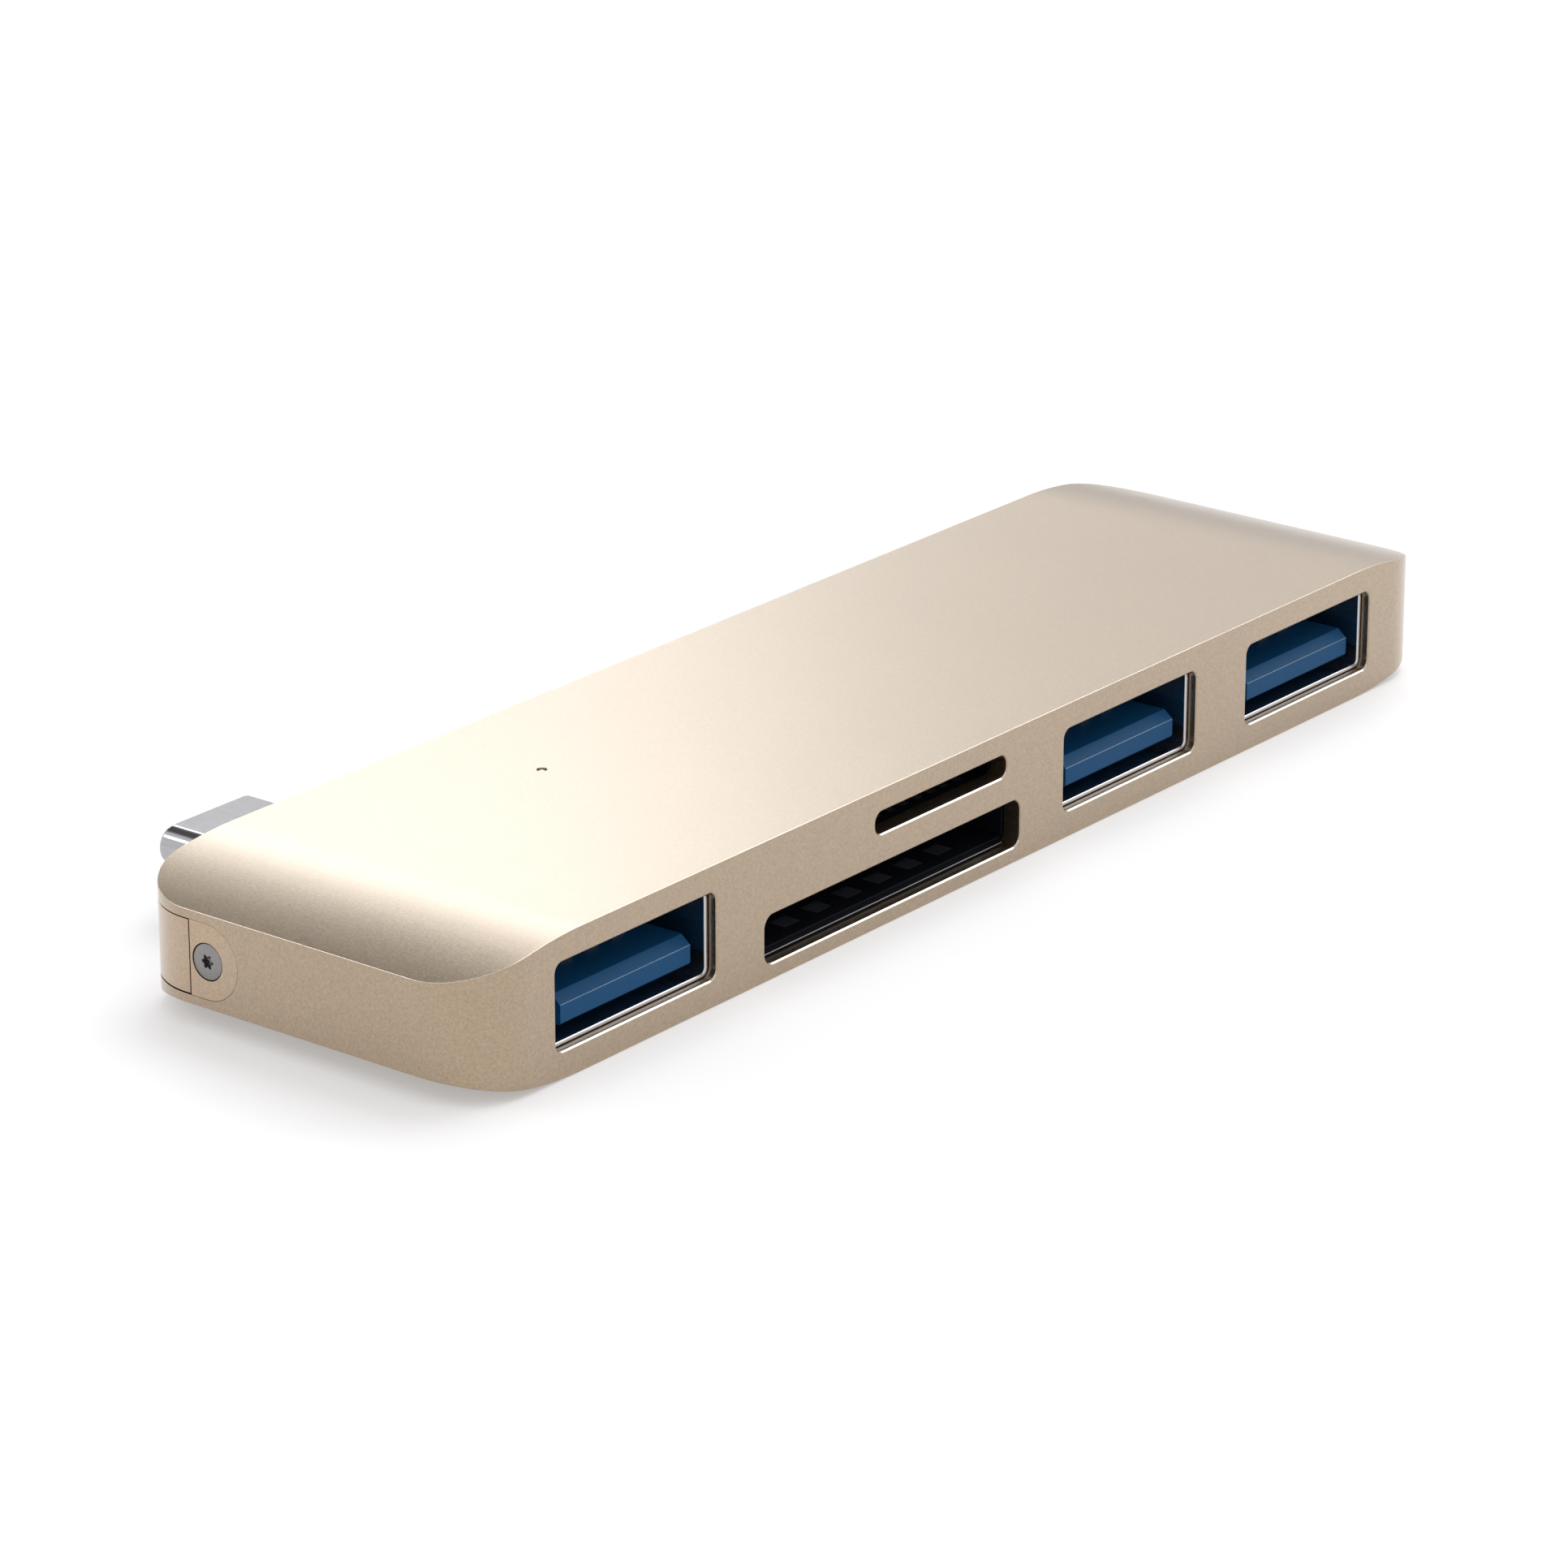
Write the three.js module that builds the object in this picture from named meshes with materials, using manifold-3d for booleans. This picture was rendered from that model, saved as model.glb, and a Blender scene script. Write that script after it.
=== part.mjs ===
// Aluminium combo USB hub for the side of a laptop.
//
// Frame: millimetres, +X along the length towards the end far from the plug, -Y out of the
// front face with the ports, +Y out of the rear face with the USB-C plug, +Z up. The origin is
// the centre of the flat underside.
//
// The housing is one shell, open underneath, and a base cover closes it. The USB-C plug sits on a
// carriage with a corner block of its own. The carriage slides along Y when the clamp screw in the
// left end face is loosened, so that the plug reaches past a laptop's protective case.

import * as THREE from 'three';
import { mergeVertices } from 'three/addons/utils/BufferGeometryUtils.js';
import Module from 'manifold-3d';

const wasm = await Module();
wasm.setup();

// ---------------------------------------------------------------- driving dimensions

const LENGTH = 95;
const WIDTH = 26;
const HEIGHT = 8.6;
const CORNER_RADIUS = 4.55;
const ROLL_LENGTH = 9.09; // the top and the underside curve towards each other over this length
const ROLL_DROP = 1.46;
const WALL = 1.2;
const SKIN = 1.0; // thickness of the housing above and below its cavity
const SEAM = 0.08; // gap between outside pieces that meet
const FIT = 0.05; // gap between stacked pieces inside
const CLEAR = 0.1; // gap round pieces that only have to stay apart
const OVERLAP = 0.1; // how far two solids that become one run into each other
const CUT = 1; // how far a cutting solid reaches past what it cuts

const END_X = LENGTH / 2;
const FACE_Y = WIDTH / 2;
const MID_Z = HEIGHT / 2;
const CEILING_Z = HEIGHT - SKIN;
const INSIDE_Y = -FACE_Y + WALL + CLEAR; // where what stands behind the front wall begins

const COVER = { length: 75.6, width: 22.4, radius: 3, thickness: 0.8 };
const BOARD = { length: 90.8, width: 22.8, radius: 3.2, low: 4.4, high: 5.2 };

const PORT_CENTRES = [-33.82, 13.56, 33.06];
const PORT_Z = 4.32;
const PORT = { width: 14.0, height: 5.27, radius: 0.5 };
const SHIELD = { width: 13.84, height: 5.15, radius: 0.45, sheet: 0.24, front: -12.4, back: 1.6 };
const TONGUE = { width: 11.3, front: -12.17, low: 2.74, lip: 3.92, high: 4.45, chamfer: 0.57 };
const INSULATOR = { front: -2.4, back: 1.4, radius: 0.25 };
const CONTACT_SHEET = 0.12;
const CONTACT_BAR = 0.4; // the strip that joins the far ends of a row of contacts
const USB_A_CONTACTS = { count: 4, pitch: 2.25, width: 1.0, front: -8.8 };

const SD = { left: -22.44, right: 2.15, low: 0.97, high: 3.95, radius: 0.8 };
const SD_SOCKET = { noseFront: -12.2, back: 5.0, low: 1.03, floor: 0.3, rail: 1.7, top: 3.9 };
const SD_COVER = { low: 3.97, high: 4.17, skirt: 1.6 };
const SD_CONTACTS = { count: 8, pitch: 2.5, width: 1.1 };
const SD_POCKETS = { count: 6, pitch: 2.93, firstX: -16.94, y: -10.15, length: 1.6, width: 1.24 };
const MICROSD = { left: -12.12, right: 0.74, low: 5.77, high: 7.17, radius: 0.6 };
const MICROSD_SOCKET = { back: 3.2, low: BOARD.high + FIT, floor: 0.45, rail: 1.0, top: 7.05 };
const MICROSD_COVER = { low: 7.18, high: 7.33, skirt: 5.6 };
const MICROSD_CONTACTS = { count: 8, pitch: 1.1, width: 0.5 };
const SOCKET_INSET = 0.15; // the card's passage inside a socket is narrower than the slot by this
const SOCKET_BACK_WALL = 1.2;
const CARD_CONTACT_REACH = 6.5;

const LED = { x: -21.3, y: 4.5, holeRadius: 0.325 };

const BLOCK = { right: -23.5, front: 8.1, low: 2.0, high: 6.6, skin: 0.9, rearWall: 2.5 };
const CLAMP = { y: 6.72, z: 4.3, thickness: 0.9, counterbore: 1.215, counterboreDepth: 0.55 };
const CLAMP_SCREW = { headRadius: 1.125, sunk: 0.02, radius: 0.6, tipX: -44.0, socketDepth: 0.4 };
const SIX_LOBE = { radius: 0.58, wave: 0.1, steps: 36 };
const CLAMP_HOLE = CLAMP_SCREW.radius + 0.08;
const NUT = { size: 3.4, thickness: 1.4, left: -45.65, ribReach: 0.6, ribPast: 0.15 };
const TRAVEL = 2.0; // how far the plug carriage slides out
const ARM = { thickness: 0.7, front: 3.2, low: 2.3, high: 6.3, right: -24.6, slotGap: 0.12 };
const ARM_POCKET = { depth: 1.5, frontGap: 0.3, back: 10, gap: 0.15 };
const BOARD_BAY = { right: -22.6, front: 4.2 }; // the corner of the board left out for the carriage

const PLUG = { x: -32.3, z: 4.3, width: 8.34, height: 2.4, tip: 21.0, back: 8.3, sheet: 0.25 };
const PLUG_CAVITY = { width: 6.9, height: 1.0, front: PLUG.tip - 0.35, depth: 5.9 };
const PLUG_CONTACTS = { count: 12, pitch: 0.5, width: 0.22, length: 4.9, sheet: 0.1, bar: 0.3 };
const LATCH = { thickness: 0.24, arm: 0.22, length: 4.4, bar: 0.3 };
const OVERMOULD = { margin: 1.3, height: 3.7, radius: 0.6 };
const PLUG_BOARD = { x: [-41.8, -25.2], y: [4.6, 8.1], z: [3.9, 4.7] };

const CHIP_HEIGHT = 0.9;
const CHIP_DIMPLE = { radius: 0.35, depth: 0.1, inset: 0.9 };
const CONTROLLER = { centre: [14.8, 6.7], size: 6 };
const CARD_READER = { centre: [-8.4, 7.4], size: 5 };
const THERMAL_PAD_SIZE = 4.2;
const CRYSTAL = { centre: [20.4, 4.6], size: [2.5, 3.2], height: 0.8 };
const INDUCTOR = { centre: [35.0, 8.2], size: [3.0, 3.0], height: 1.5 };
const LED_CHIP = { centre: [LED.x, LED.y], size: [1.6, 0.8], height: 0.6 };
const LIGHT_PIPE = { low: 5.95, collarRadius: 0.7, top: 8.42 };
const FLEX_CONNECTOR = { centre: [-18.5, 6.2], size: [3.8, 2.8], height: 0.95 };
const FLEX_THICKNESS = 0.15;
const FLEX_Y = [5.2, 7.8];
const FLEX_ROUTE = [[-29.6, 4.85], [-27.4, 4.85], [-25.4, 5.65], [-23.4, 6.0], [-20.7, 5.8]];
const CAPACITOR = { size: [2.0, 1.25], height: 1.1 };
const CAPACITOR_CENTRES = [[31.6, 5.2], [31.6, 7.4], [-2.2, 8.9], [38.0, 5.2]];

const BOSS = { radius: 1.7, hole: 0.7, holeTop: 7.3 };
const BOARD_SCREW = { headRadius: 1.4, headHeight: 0.7, radius: 0.6, tip: 7.1, boardHole: 0.75 };
const CROSS = { length: 2.0, width: 0.3, top: 4.0 }; // the drive cut into a board screw's head
const BOARD_SCREWS = [[-18.2, 9.3], [22.9, 9.0], [42.2, 7.4]];

// ---------------------------------------------------------------- materials

function finish(color, roughness, metalness) {
  return new THREE.MeshStandardMaterial({ color, roughness, metalness });
}

const ANODISED = finish(0xd9c3ae, 0.42, 1.0);
const STEEL = finish(0xc9cbce, 0.28, 1.0);
const DARK_STEEL = finish(0x8d9096, 0.35, 1.0);
const BLUE_PLASTIC = finish(0x1f5c8c, 0.45, 0.0);
const BLACK_PLASTIC = finish(0x101216, 0.5, 0.0);
const GOLD = finish(0xd8ac55, 0.3, 1.0);
const BOARD_GREEN = finish(0x14503a, 0.55, 0.0);
const CERAMIC_TAN = finish(0xa88a66, 0.5, 0.0);
const CLEAR_PLASTIC = finish(0xe8eef2, 0.15, 0.0);
const PAD_GREY = finish(0x7d858c, 0.85, 0.0);
const POLYIMIDE = finish(0xb8721f, 0.4, 0.0);

// ---------------------------------------------------------------- solids from three.js shapes

function solid(geometry) {
  const bare = geometry.clone();
  bare.deleteAttribute('normal');
  bare.deleteAttribute('uv');
  const merged = mergeVertices(bare, 1e-5);
  return new wasm.Manifold(
    new wasm.Mesh({
      numProp: 3,
      vertProperties: new Float32Array(merged.attributes.position.array),
      triVerts: new Uint32Array(merged.index.array),
    }),
  );
}

function geometryOf(manifold) {
  const mesh = manifold.getMesh();
  const geometry = new THREE.BufferGeometry();
  geometry.setAttribute('position', new THREE.BufferAttribute(mesh.vertProperties, 3));
  geometry.setIndex(new THREE.BufferAttribute(mesh.triVerts, 1));
  geometry.computeVertexNormals();
  return geometry;
}

function box([x0, x1], [y0, y1], [z0, z1]) {
  const geometry = new THREE.BoxGeometry(x1 - x0, y1 - y0, z1 - z0);
  geometry.translate((x0 + x1) / 2, (y0 + y1) / 2, (z0 + z1) / 2);
  return solid(geometry);
}

function extrude(shape, depth, segments) {
  return new THREE.ExtrudeGeometry(shape, { depth, bevelEnabled: false, curveSegments: segments });
}

// A shape drawn in XY, extruded along Z.
function alongZ(shape, [z0, z1], segments = 6) {
  return solid(extrude(shape, z1 - z0, segments).translate(0, 0, z0));
}

// A shape drawn in XZ, extruded along Y.
function alongY(shape, [y0, y1], segments = 4) {
  return solid(extrude(shape, y1 - y0, segments).rotateX(Math.PI / 2).translate(0, y1, 0));
}

// A shape drawn in YZ, extruded along X.
function alongX(shape, [x0, x1], segments = 12) {
  const geometry = extrude(shape, x1 - x0, segments).rotateX(Math.PI / 2).rotateZ(Math.PI / 2);
  return solid(geometry.translate(x0, 0, 0));
}

function roundedRectangle([left, right], [low, high], radius) {
  const shape = new THREE.Shape();
  shape.absarc(right - radius, low + radius, radius, -Math.PI / 2, 0);
  shape.absarc(right - radius, high - radius, radius, 0, Math.PI / 2);
  shape.absarc(left + radius, high - radius, radius, Math.PI / 2, Math.PI);
  shape.absarc(left + radius, low + radius, radius, Math.PI, 1.5 * Math.PI);
  return shape;
}

function centredRectangle(width, height, radius) {
  return roundedRectangle([-width / 2, width / 2], [-height / 2, height / 2], radius);
}

function polygon(points) {
  return new THREE.Shape(points.map(([x, y]) => new THREE.Vector2(x, y)));
}

function spinZ(profile, segments = 16) {
  const points = profile.map(([radius, height]) => new THREE.Vector2(radius, height));
  return solid(new THREE.LatheGeometry(points, segments).rotateX(Math.PI / 2));
}

function cylinderZ(radius, [z0, z1], x, y, segments = 16) {
  return spinZ([[0, z0], [radius, z0], [radius, z1], [0, z1]], segments).translate([x, y, 0]);
}

function cylinderX(radius, [x0, x1], y, z, segments = 24) {
  const shape = new THREE.Shape();
  shape.absarc(y, z, radius, 0, 2 * Math.PI);
  return alongX(shape, [x0, x1], segments);
}

function joined(solids) {
  return solids.reduce((whole, next) => whole.add(next));
}

// Parallel contact fingers that point towards -Y and share one bar at their far end.
function comb({ count, pitch, width }, [front, back], bar) {
  const reach = ((count - 1) * pitch + width) / 2;
  const points = [[reach, back], [-reach, back]];
  for (let i = 0; i < count; i += 1) {
    const centre = (i - (count - 1) / 2) * pitch;
    points.push([centre - width / 2, front], [centre + width / 2, front]);
    if (i < count - 1) {
      points.push([centre + width / 2, back - bar], [centre + pitch - width / 2, back - bar]);
    }
  }
  return polygon(points);
}

function node(name, manifold, material) {
  const mesh = new THREE.Mesh(geometryOf(manifold), material);
  mesh.name = name;
  return mesh;
}

// ---------------------------------------------------------------- housing and base cover

// The side outline of the body, inset evenly by the given thickness.
function sideOutline(inset) {
  const radius = (ROLL_LENGTH ** 2 + ROLL_DROP ** 2) / (2 * ROLL_DROP);
  const flatX = END_X - ROLL_LENGTH;
  const sweep = Math.asin((ROLL_LENGTH - (inset > 0 ? WALL : 0)) / (radius - inset));
  const top = HEIGHT - radius;
  const shape = new THREE.Shape();
  shape.absarc(flatX, radius, radius - inset, -Math.PI / 2, -Math.PI / 2 + sweep);
  shape.absarc(flatX, top, radius - inset, Math.PI / 2 - sweep, Math.PI / 2);
  shape.absarc(-flatX, top, radius - inset, Math.PI / 2, Math.PI / 2 + sweep);
  shape.absarc(-flatX, radius, radius - inset, 1.5 * Math.PI - sweep, 1.5 * Math.PI);
  return shape;
}

function body(inset) {
  const side = inset > 0 ? WALL : 0;
  const plan = centredRectangle(LENGTH - 2 * side, WIDTH - 2 * side, CORNER_RADIUS - side);
  const depth = [-FACE_Y - CUT, FACE_Y + CUT];
  return alongZ(plan, [-CUT, HEIGHT + CUT]).intersect(alongY(sideOutline(inset), depth, 6));
}

// The window in the left rear corner: the corner block fills it up to the clamp plate's round end.
function cornerWindow(gap, clearance) {
  const half = (BLOCK.high - BLOCK.low) / 2 - gap;
  const outline = new THREE.Shape();
  outline.moveTo(FACE_Y + clearance, MID_Z + half);
  outline.absarc(CLAMP.y, MID_Z, half, Math.PI / 2, 1.5 * Math.PI);
  outline.lineTo(FACE_Y + clearance, MID_Z - half);
  return outline;
}

function portCutouts() {
  const outline = centredRectangle(PORT.width, PORT.height, PORT.radius);
  const cut = alongY(outline, [-FACE_Y - CUT, -FACE_Y + 2 * WALL]);
  return PORT_CENTRES.map((x) => cut.translate([x, 0, PORT_Z]));
}

function cardSlot(slot) {
  const outline = roundedRectangle([slot.left, slot.right], [slot.low, slot.high], slot.radius);
  return alongY(outline, [-FACE_Y - CUT, INSIDE_Y]);
}

// Two ribs that keep the square nut from turning.
function nutRibs() {
  const x = [NUT.left - FIT, NUT.left + NUT.thickness + NUT.ribPast];
  const reach = NUT.size / 2 + NUT.ribReach;
  const y = [CLAMP.y - reach, CLAMP.y + reach];
  const half = NUT.size / 2 + FIT;
  const above = box(x, y, [CLAMP.z + half, CEILING_Z]);
  const below = box(x, y, [SKIN, CLAMP.z - half]);
  return joined([above, below]).intersect(body(0));
}

function housing() {
  let shell = body(0).subtract(body(SKIN));
  const opening = centredRectangle(COVER.length + 2 * SEAM, COVER.width + 2 * SEAM, COVER.radius);
  shell = shell.subtract(alongZ(opening, [-CUT, SKIN + OVERLAP]));
  for (const cut of [...portCutouts(), cardSlot(SD), cardSlot(MICROSD)]) {
    shell = shell.subtract(cut);
  }
  const throughEndWall = [-END_X - CUT, -END_X + WALL + CLEAR];
  shell = shell.subtract(alongX(cornerWindow(0, CUT), throughEndWall, 8));
  const rearOpening = box(
    [-END_X - CUT, BLOCK.right],
    [BLOCK.front, FACE_Y + CUT],
    [BLOCK.low, BLOCK.high],
  );
  const armPocket = box(
    [-END_X + CLAMP.thickness, -END_X + ARM_POCKET.depth],
    [ARM.front - ARM_POCKET.frontGap, ARM_POCKET.back],
    [ARM.low - ARM_POCKET.gap, ARM.high + ARM_POCKET.gap],
  );
  shell = shell.subtract(rearOpening).subtract(armPocket);
  shell = shell.subtract(cylinderZ(LED.holeRadius, [MID_Z, HEIGHT + CUT], LED.x, LED.y));
  for (const [x, y] of BOARD_SCREWS) {
    const boss = cylinderZ(BOSS.radius, [BOARD.high + FIT, HEIGHT - SKIN / 2], x, y, 12);
    shell = shell.add(boss.intersect(body(SKIN / 2)));
    shell = shell.subtract(cylinderZ(BOSS.hole, [BOARD.low, BOSS.holeTop], x, y, 12));
  }
  return shell.add(nutRibs());
}

function baseCover() {
  return alongZ(centredRectangle(COVER.length, COVER.width, COVER.radius), [0, COVER.thickness]);
}

// ---------------------------------------------------------------- USB-A receptacles

function usbAShield() {
  const { width, height, radius, sheet, front, back } = SHIELD;
  const outside = centredRectangle(width, height, radius);
  const inside = centredRectangle(width - 2 * sheet, height - 2 * sheet, radius - sheet + FIT);
  return alongY(outside, [front, back], 3).subtract(alongY(inside, [front - CUT, back + CUT], 3));
}

// The blue insulator: a block at the back of the shield and the tongue that carries the contacts.
function usbAInsulator() {
  const lowered = (z) => z - PORT_Z;
  const root = INSULATOR.front + OVERLAP;
  const profile = polygon([
    [TONGUE.front, lowered(TONGUE.low)],
    [root, lowered(TONGUE.low)],
    [root, lowered(TONGUE.high)],
    [TONGUE.front + TONGUE.chamfer, lowered(TONGUE.high)],
    [TONGUE.front, lowered(TONGUE.lip)],
  ]);
  const tongue = alongX(profile, [-TONGUE.width / 2, TONGUE.width / 2]);
  const halfWidth = SHIELD.width / 2 - SHIELD.sheet - FIT;
  const halfHeight = SHIELD.height / 2 - SHIELD.sheet - FIT;
  const block = centredRectangle(2 * halfWidth, 2 * halfHeight, INSULATOR.radius);
  return tongue.add(alongY(block, [INSULATOR.front, INSULATOR.back], 3));
}

function usbAContacts() {
  const low = TONGUE.high + FIT - PORT_Z;
  const reach = [USB_A_CONTACTS.front, INSULATOR.front - FIT];
  return alongZ(comb(USB_A_CONTACTS, reach, CONTACT_BAR), [low, low + CONTACT_SHEET]);
}

function usbAReceptacle(number, x) {
  const group = new THREE.Group();
  group.position.set(x, 0, PORT_Z);
  group.add(
    node(`usb_a_shield_${number}`, usbAShield(), STEEL),
    node(`usb_a_insulator_${number}`, usbAInsulator(), BLUE_PLASTIC),
    node(`usb_a_contacts_${number}`, usbAContacts(), GOLD),
  );
  return group;
}

// ---------------------------------------------------------------- card sockets

// A tray with a floor, two rails and a back wall, behind the slot in the wall.
function socketBase(slot, socket) {
  const left = slot.left + SOCKET_INSET;
  const right = slot.right - SOCKET_INSET;
  const y = [INSIDE_Y, socket.back];
  const z = [socket.low, socket.top];
  const floor = box([left, right], y, [socket.low, socket.low + socket.floor]);
  const leftRail = box([left - socket.rail, left], y, z);
  const rightRail = box([right, right + socket.rail], y, z);
  const back = box([left, right], [socket.back - SOCKET_BACK_WALL, socket.back], z);
  return joined([floor, leftRail, rightRail, back]);
}

// The SD tray also has a nose that reaches into the slot, and a row of pockets in its floor.
function sdSocketBase() {
  const noseX = [SD.left + SD.radius, SD.right - SD.radius];
  const noseY = [SD_SOCKET.noseFront, INSIDE_Y + OVERLAP];
  const nose = box(noseX, noseY, [SD_SOCKET.low, SD_SOCKET.low + SD_SOCKET.floor]);
  let tray = socketBase(SD, SD_SOCKET).add(nose);
  const { count, pitch, firstX, y, length, width } = SD_POCKETS;
  const z = [SD_SOCKET.low - CUT, SD_SOCKET.low + CUT];
  for (let i = 0; i < count; i += 1) {
    const left = firstX + i * pitch - length / 2;
    tray = tray.subtract(box([left, left + length], [y - width / 2, y + width / 2], z));
  }
  return tray;
}

// A pressed cover with a skirt down each side of the tray.
function socketCover(slot, socket, { low, high, skirt }) {
  const left = slot.left + SOCKET_INSET - socket.rail;
  const right = slot.right - SOCKET_INSET + socket.rail;
  const y = [INSIDE_Y, socket.back];
  const sheet = high - low;
  return joined([
    box([left - FIT - sheet, right + FIT + sheet], y, [low, high]),
    box([left - FIT - sheet, left - FIT], y, [skirt, high]),
    box([right + FIT, right + FIT + sheet], y, [skirt, high]),
  ]);
}

function socketContacts(slot, socket, fingers) {
  const low = socket.low + socket.floor + FIT;
  const back = socket.back - SOCKET_BACK_WALL - FIT;
  const outline = comb(fingers, [back - CARD_CONTACT_REACH, back], CONTACT_BAR);
  const strip = alongZ(outline, [low, low + CONTACT_SHEET]);
  return strip.translate([(slot.left + slot.right) / 2, 0, 0]);
}

function cardSockets() {
  const sdContacts = socketContacts(SD, SD_SOCKET, SD_CONTACTS);
  const microContacts = socketContacts(MICROSD, MICROSD_SOCKET, MICROSD_CONTACTS);
  return [
    node('sd_socket_base', sdSocketBase(), BLACK_PLASTIC),
    node('sd_socket_cover', socketCover(SD, SD_SOCKET, SD_COVER), STEEL),
    node('sd_contacts', sdContacts, GOLD),
    node('microsd_socket_base', socketBase(MICROSD, MICROSD_SOCKET), BLACK_PLASTIC),
    node('microsd_socket_cover', socketCover(MICROSD, MICROSD_SOCKET, MICROSD_COVER), STEEL),
    node('microsd_contacts', microContacts, GOLD),
  ];
}

// ---------------------------------------------------------------- main board and what is on it

function mainBoard() {
  let board = alongZ(
    centredRectangle(BOARD.length, BOARD.width, BOARD.radius),
    [BOARD.low, BOARD.high],
    4,
  );
  const through = [BOARD.low - CUT, BOARD.high + CUT];
  const notch = SHIELD.width / 2 + 2 * CLEAR;
  for (const x of PORT_CENTRES) {
    const y = [-FACE_Y, SHIELD.back + 2 * CLEAR];
    board = board.subtract(box([x - notch, x + notch], y, through));
  }
  board = board.subtract(box([-END_X, BOARD_BAY.right], [BOARD_BAY.front, FACE_Y], through));
  for (const [x, y] of BOARD_SCREWS) {
    board = board.subtract(cylinderZ(BOARD_SCREW.boardHole, through, x, y, 12));
  }
  return board;
}

function boardScrew([x, y]) {
  const { headRadius, headHeight, radius, tip } = BOARD_SCREW;
  const headTop = BOARD.low - FIT;
  const head = cylinderZ(headRadius, [headTop - headHeight, headTop], x, y, 16);
  const shank = cylinderZ(radius, [headTop - OVERLAP, tip], x, y, 12);
  const long = CROSS.length / 2;
  const short = CROSS.width / 2;
  const z = [BOARD.low - CUT, CROSS.top];
  const slot = box([x - long, x + long], [y - short, y + short], z);
  const cross = box([x - short, x + short], [y - long, y + long], z);
  return head.add(shank).subtract(slot).subtract(cross);
}

function onBoard({ centre: [x, y], size: [length, width], height }) {
  const low = BOARD.high + FIT;
  return box([x - length / 2, x + length / 2], [y - width / 2, y + width / 2], [low, low + height]);
}

// A chip package with a shallow pin-one dimple in its top.
function chip({ centre: [x, y], size }) {
  const { radius, depth, inset } = CHIP_DIMPLE;
  const top = BOARD.high + FIT + CHIP_HEIGHT;
  const reach = size / 2 - inset;
  const dimple = cylinderZ(radius, [top - depth, top + CUT], x - reach, y + reach, 12);
  return onBoard({ centre: [x, y], size: [size, size], height: CHIP_HEIGHT }).subtract(dimple);
}

// A soft pad that carries the controller's heat to the housing.
function thermalPad() {
  const [x, y] = CONTROLLER.centre;
  const half = THERMAL_PAD_SIZE / 2;
  const z = [BOARD.high + 2 * FIT + CHIP_HEIGHT, CEILING_Z - FIT];
  return box([x - half, x + half], [y - half, y + half], z);
}

function lightPipe() {
  const { low, collarRadius, top } = LIGHT_PIPE;
  const neck = CEILING_Z - CLEAR;
  const stem = LED.holeRadius - FIT;
  const profile = [
    [0, low],
    [collarRadius, low],
    [collarRadius, neck],
    [stem, neck],
    [stem, top],
    [0, top],
  ];
  return spinZ(profile, 12).translate([LED.x, LED.y, 0]);
}

function flexCable() {
  const upper = FLEX_ROUTE.map(([x, z]) => [x, z + FLEX_THICKNESS]).reverse();
  return alongY(polygon([...FLEX_ROUTE, ...upper]), FLEX_Y);
}

function electronics() {
  const parts = [
    node('main_board', mainBoard(), BOARD_GREEN),
    node('hub_controller_chip', chip(CONTROLLER), BLACK_PLASTIC),
    node('card_reader_chip', chip(CARD_READER), BLACK_PLASTIC),
    node('clock_crystal', onBoard(CRYSTAL), STEEL),
    node('power_inductor', onBoard(INDUCTOR), PAD_GREY),
    node('thermal_pad', thermalPad(), PAD_GREY),
    node('status_led', onBoard(LED_CHIP), CLEAR_PLASTIC),
    node('light_pipe', lightPipe(), CLEAR_PLASTIC),
    node('flex_connector', onBoard(FLEX_CONNECTOR), BLACK_PLASTIC),
    node('flex_cable', flexCable(), POLYIMIDE),
  ];
  CAPACITOR_CENTRES.forEach((centre, i) => {
    parts.push(node(`capacitor_${i + 1}`, onBoard({ centre, ...CAPACITOR }), CERAMIC_TAN));
  });
  BOARD_SCREWS.forEach((place, i) => {
    parts.push(node(`board_screw_${i + 1}`, boardScrew(place), STEEL));
  });
  return parts;
}

// ---------------------------------------------------------------- clamp in the left end face

// The flush plate with a round end. The screw's head sits in its counterbore.
function clampPlate() {
  const outer = -END_X;
  const inner = outer + CLAMP.thickness;
  const endPiece = box([outer - CUT, inner - FIT], [0, BLOCK.front - SEAM], [0, HEIGHT]);
  const plate = alongX(cornerWindow(SEAM, CUT), [outer, inner], 8).intersect(endPiece);
  const bore = [outer - CUT, outer + CLAMP.counterboreDepth];
  return plate
    .subtract(cylinderX(CLAMP.counterbore, bore, CLAMP.y, CLAMP.z))
    .subtract(cylinderX(CLAMP_HOLE, [outer - CUT, inner + CUT], CLAMP.y, CLAMP.z, 16));
}

function sixLobeOutline(y, z) {
  const points = [];
  for (let i = 0; i < SIX_LOBE.steps; i += 1) {
    const angle = (2 * Math.PI * i) / SIX_LOBE.steps;
    const radius = SIX_LOBE.radius + SIX_LOBE.wave * Math.cos(6 * angle);
    points.push([y + radius * Math.cos(angle), z + radius * Math.sin(angle)]);
  }
  return polygon(points);
}

function clampScrew() {
  const { headRadius, sunk, radius, tipX, socketDepth } = CLAMP_SCREW;
  const face = -END_X + sunk;
  const under = -END_X + CLAMP.counterboreDepth - FIT;
  const head = cylinderX(headRadius, [face, under], CLAMP.y, CLAMP.z);
  const shank = cylinderX(radius, [under - OVERLAP, tipX], CLAMP.y, CLAMP.z, 16);
  const socket = alongX(sixLobeOutline(CLAMP.y, CLAMP.z), [face - CUT, face + socketDepth]);
  return head.add(shank).subtract(socket);
}

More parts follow.
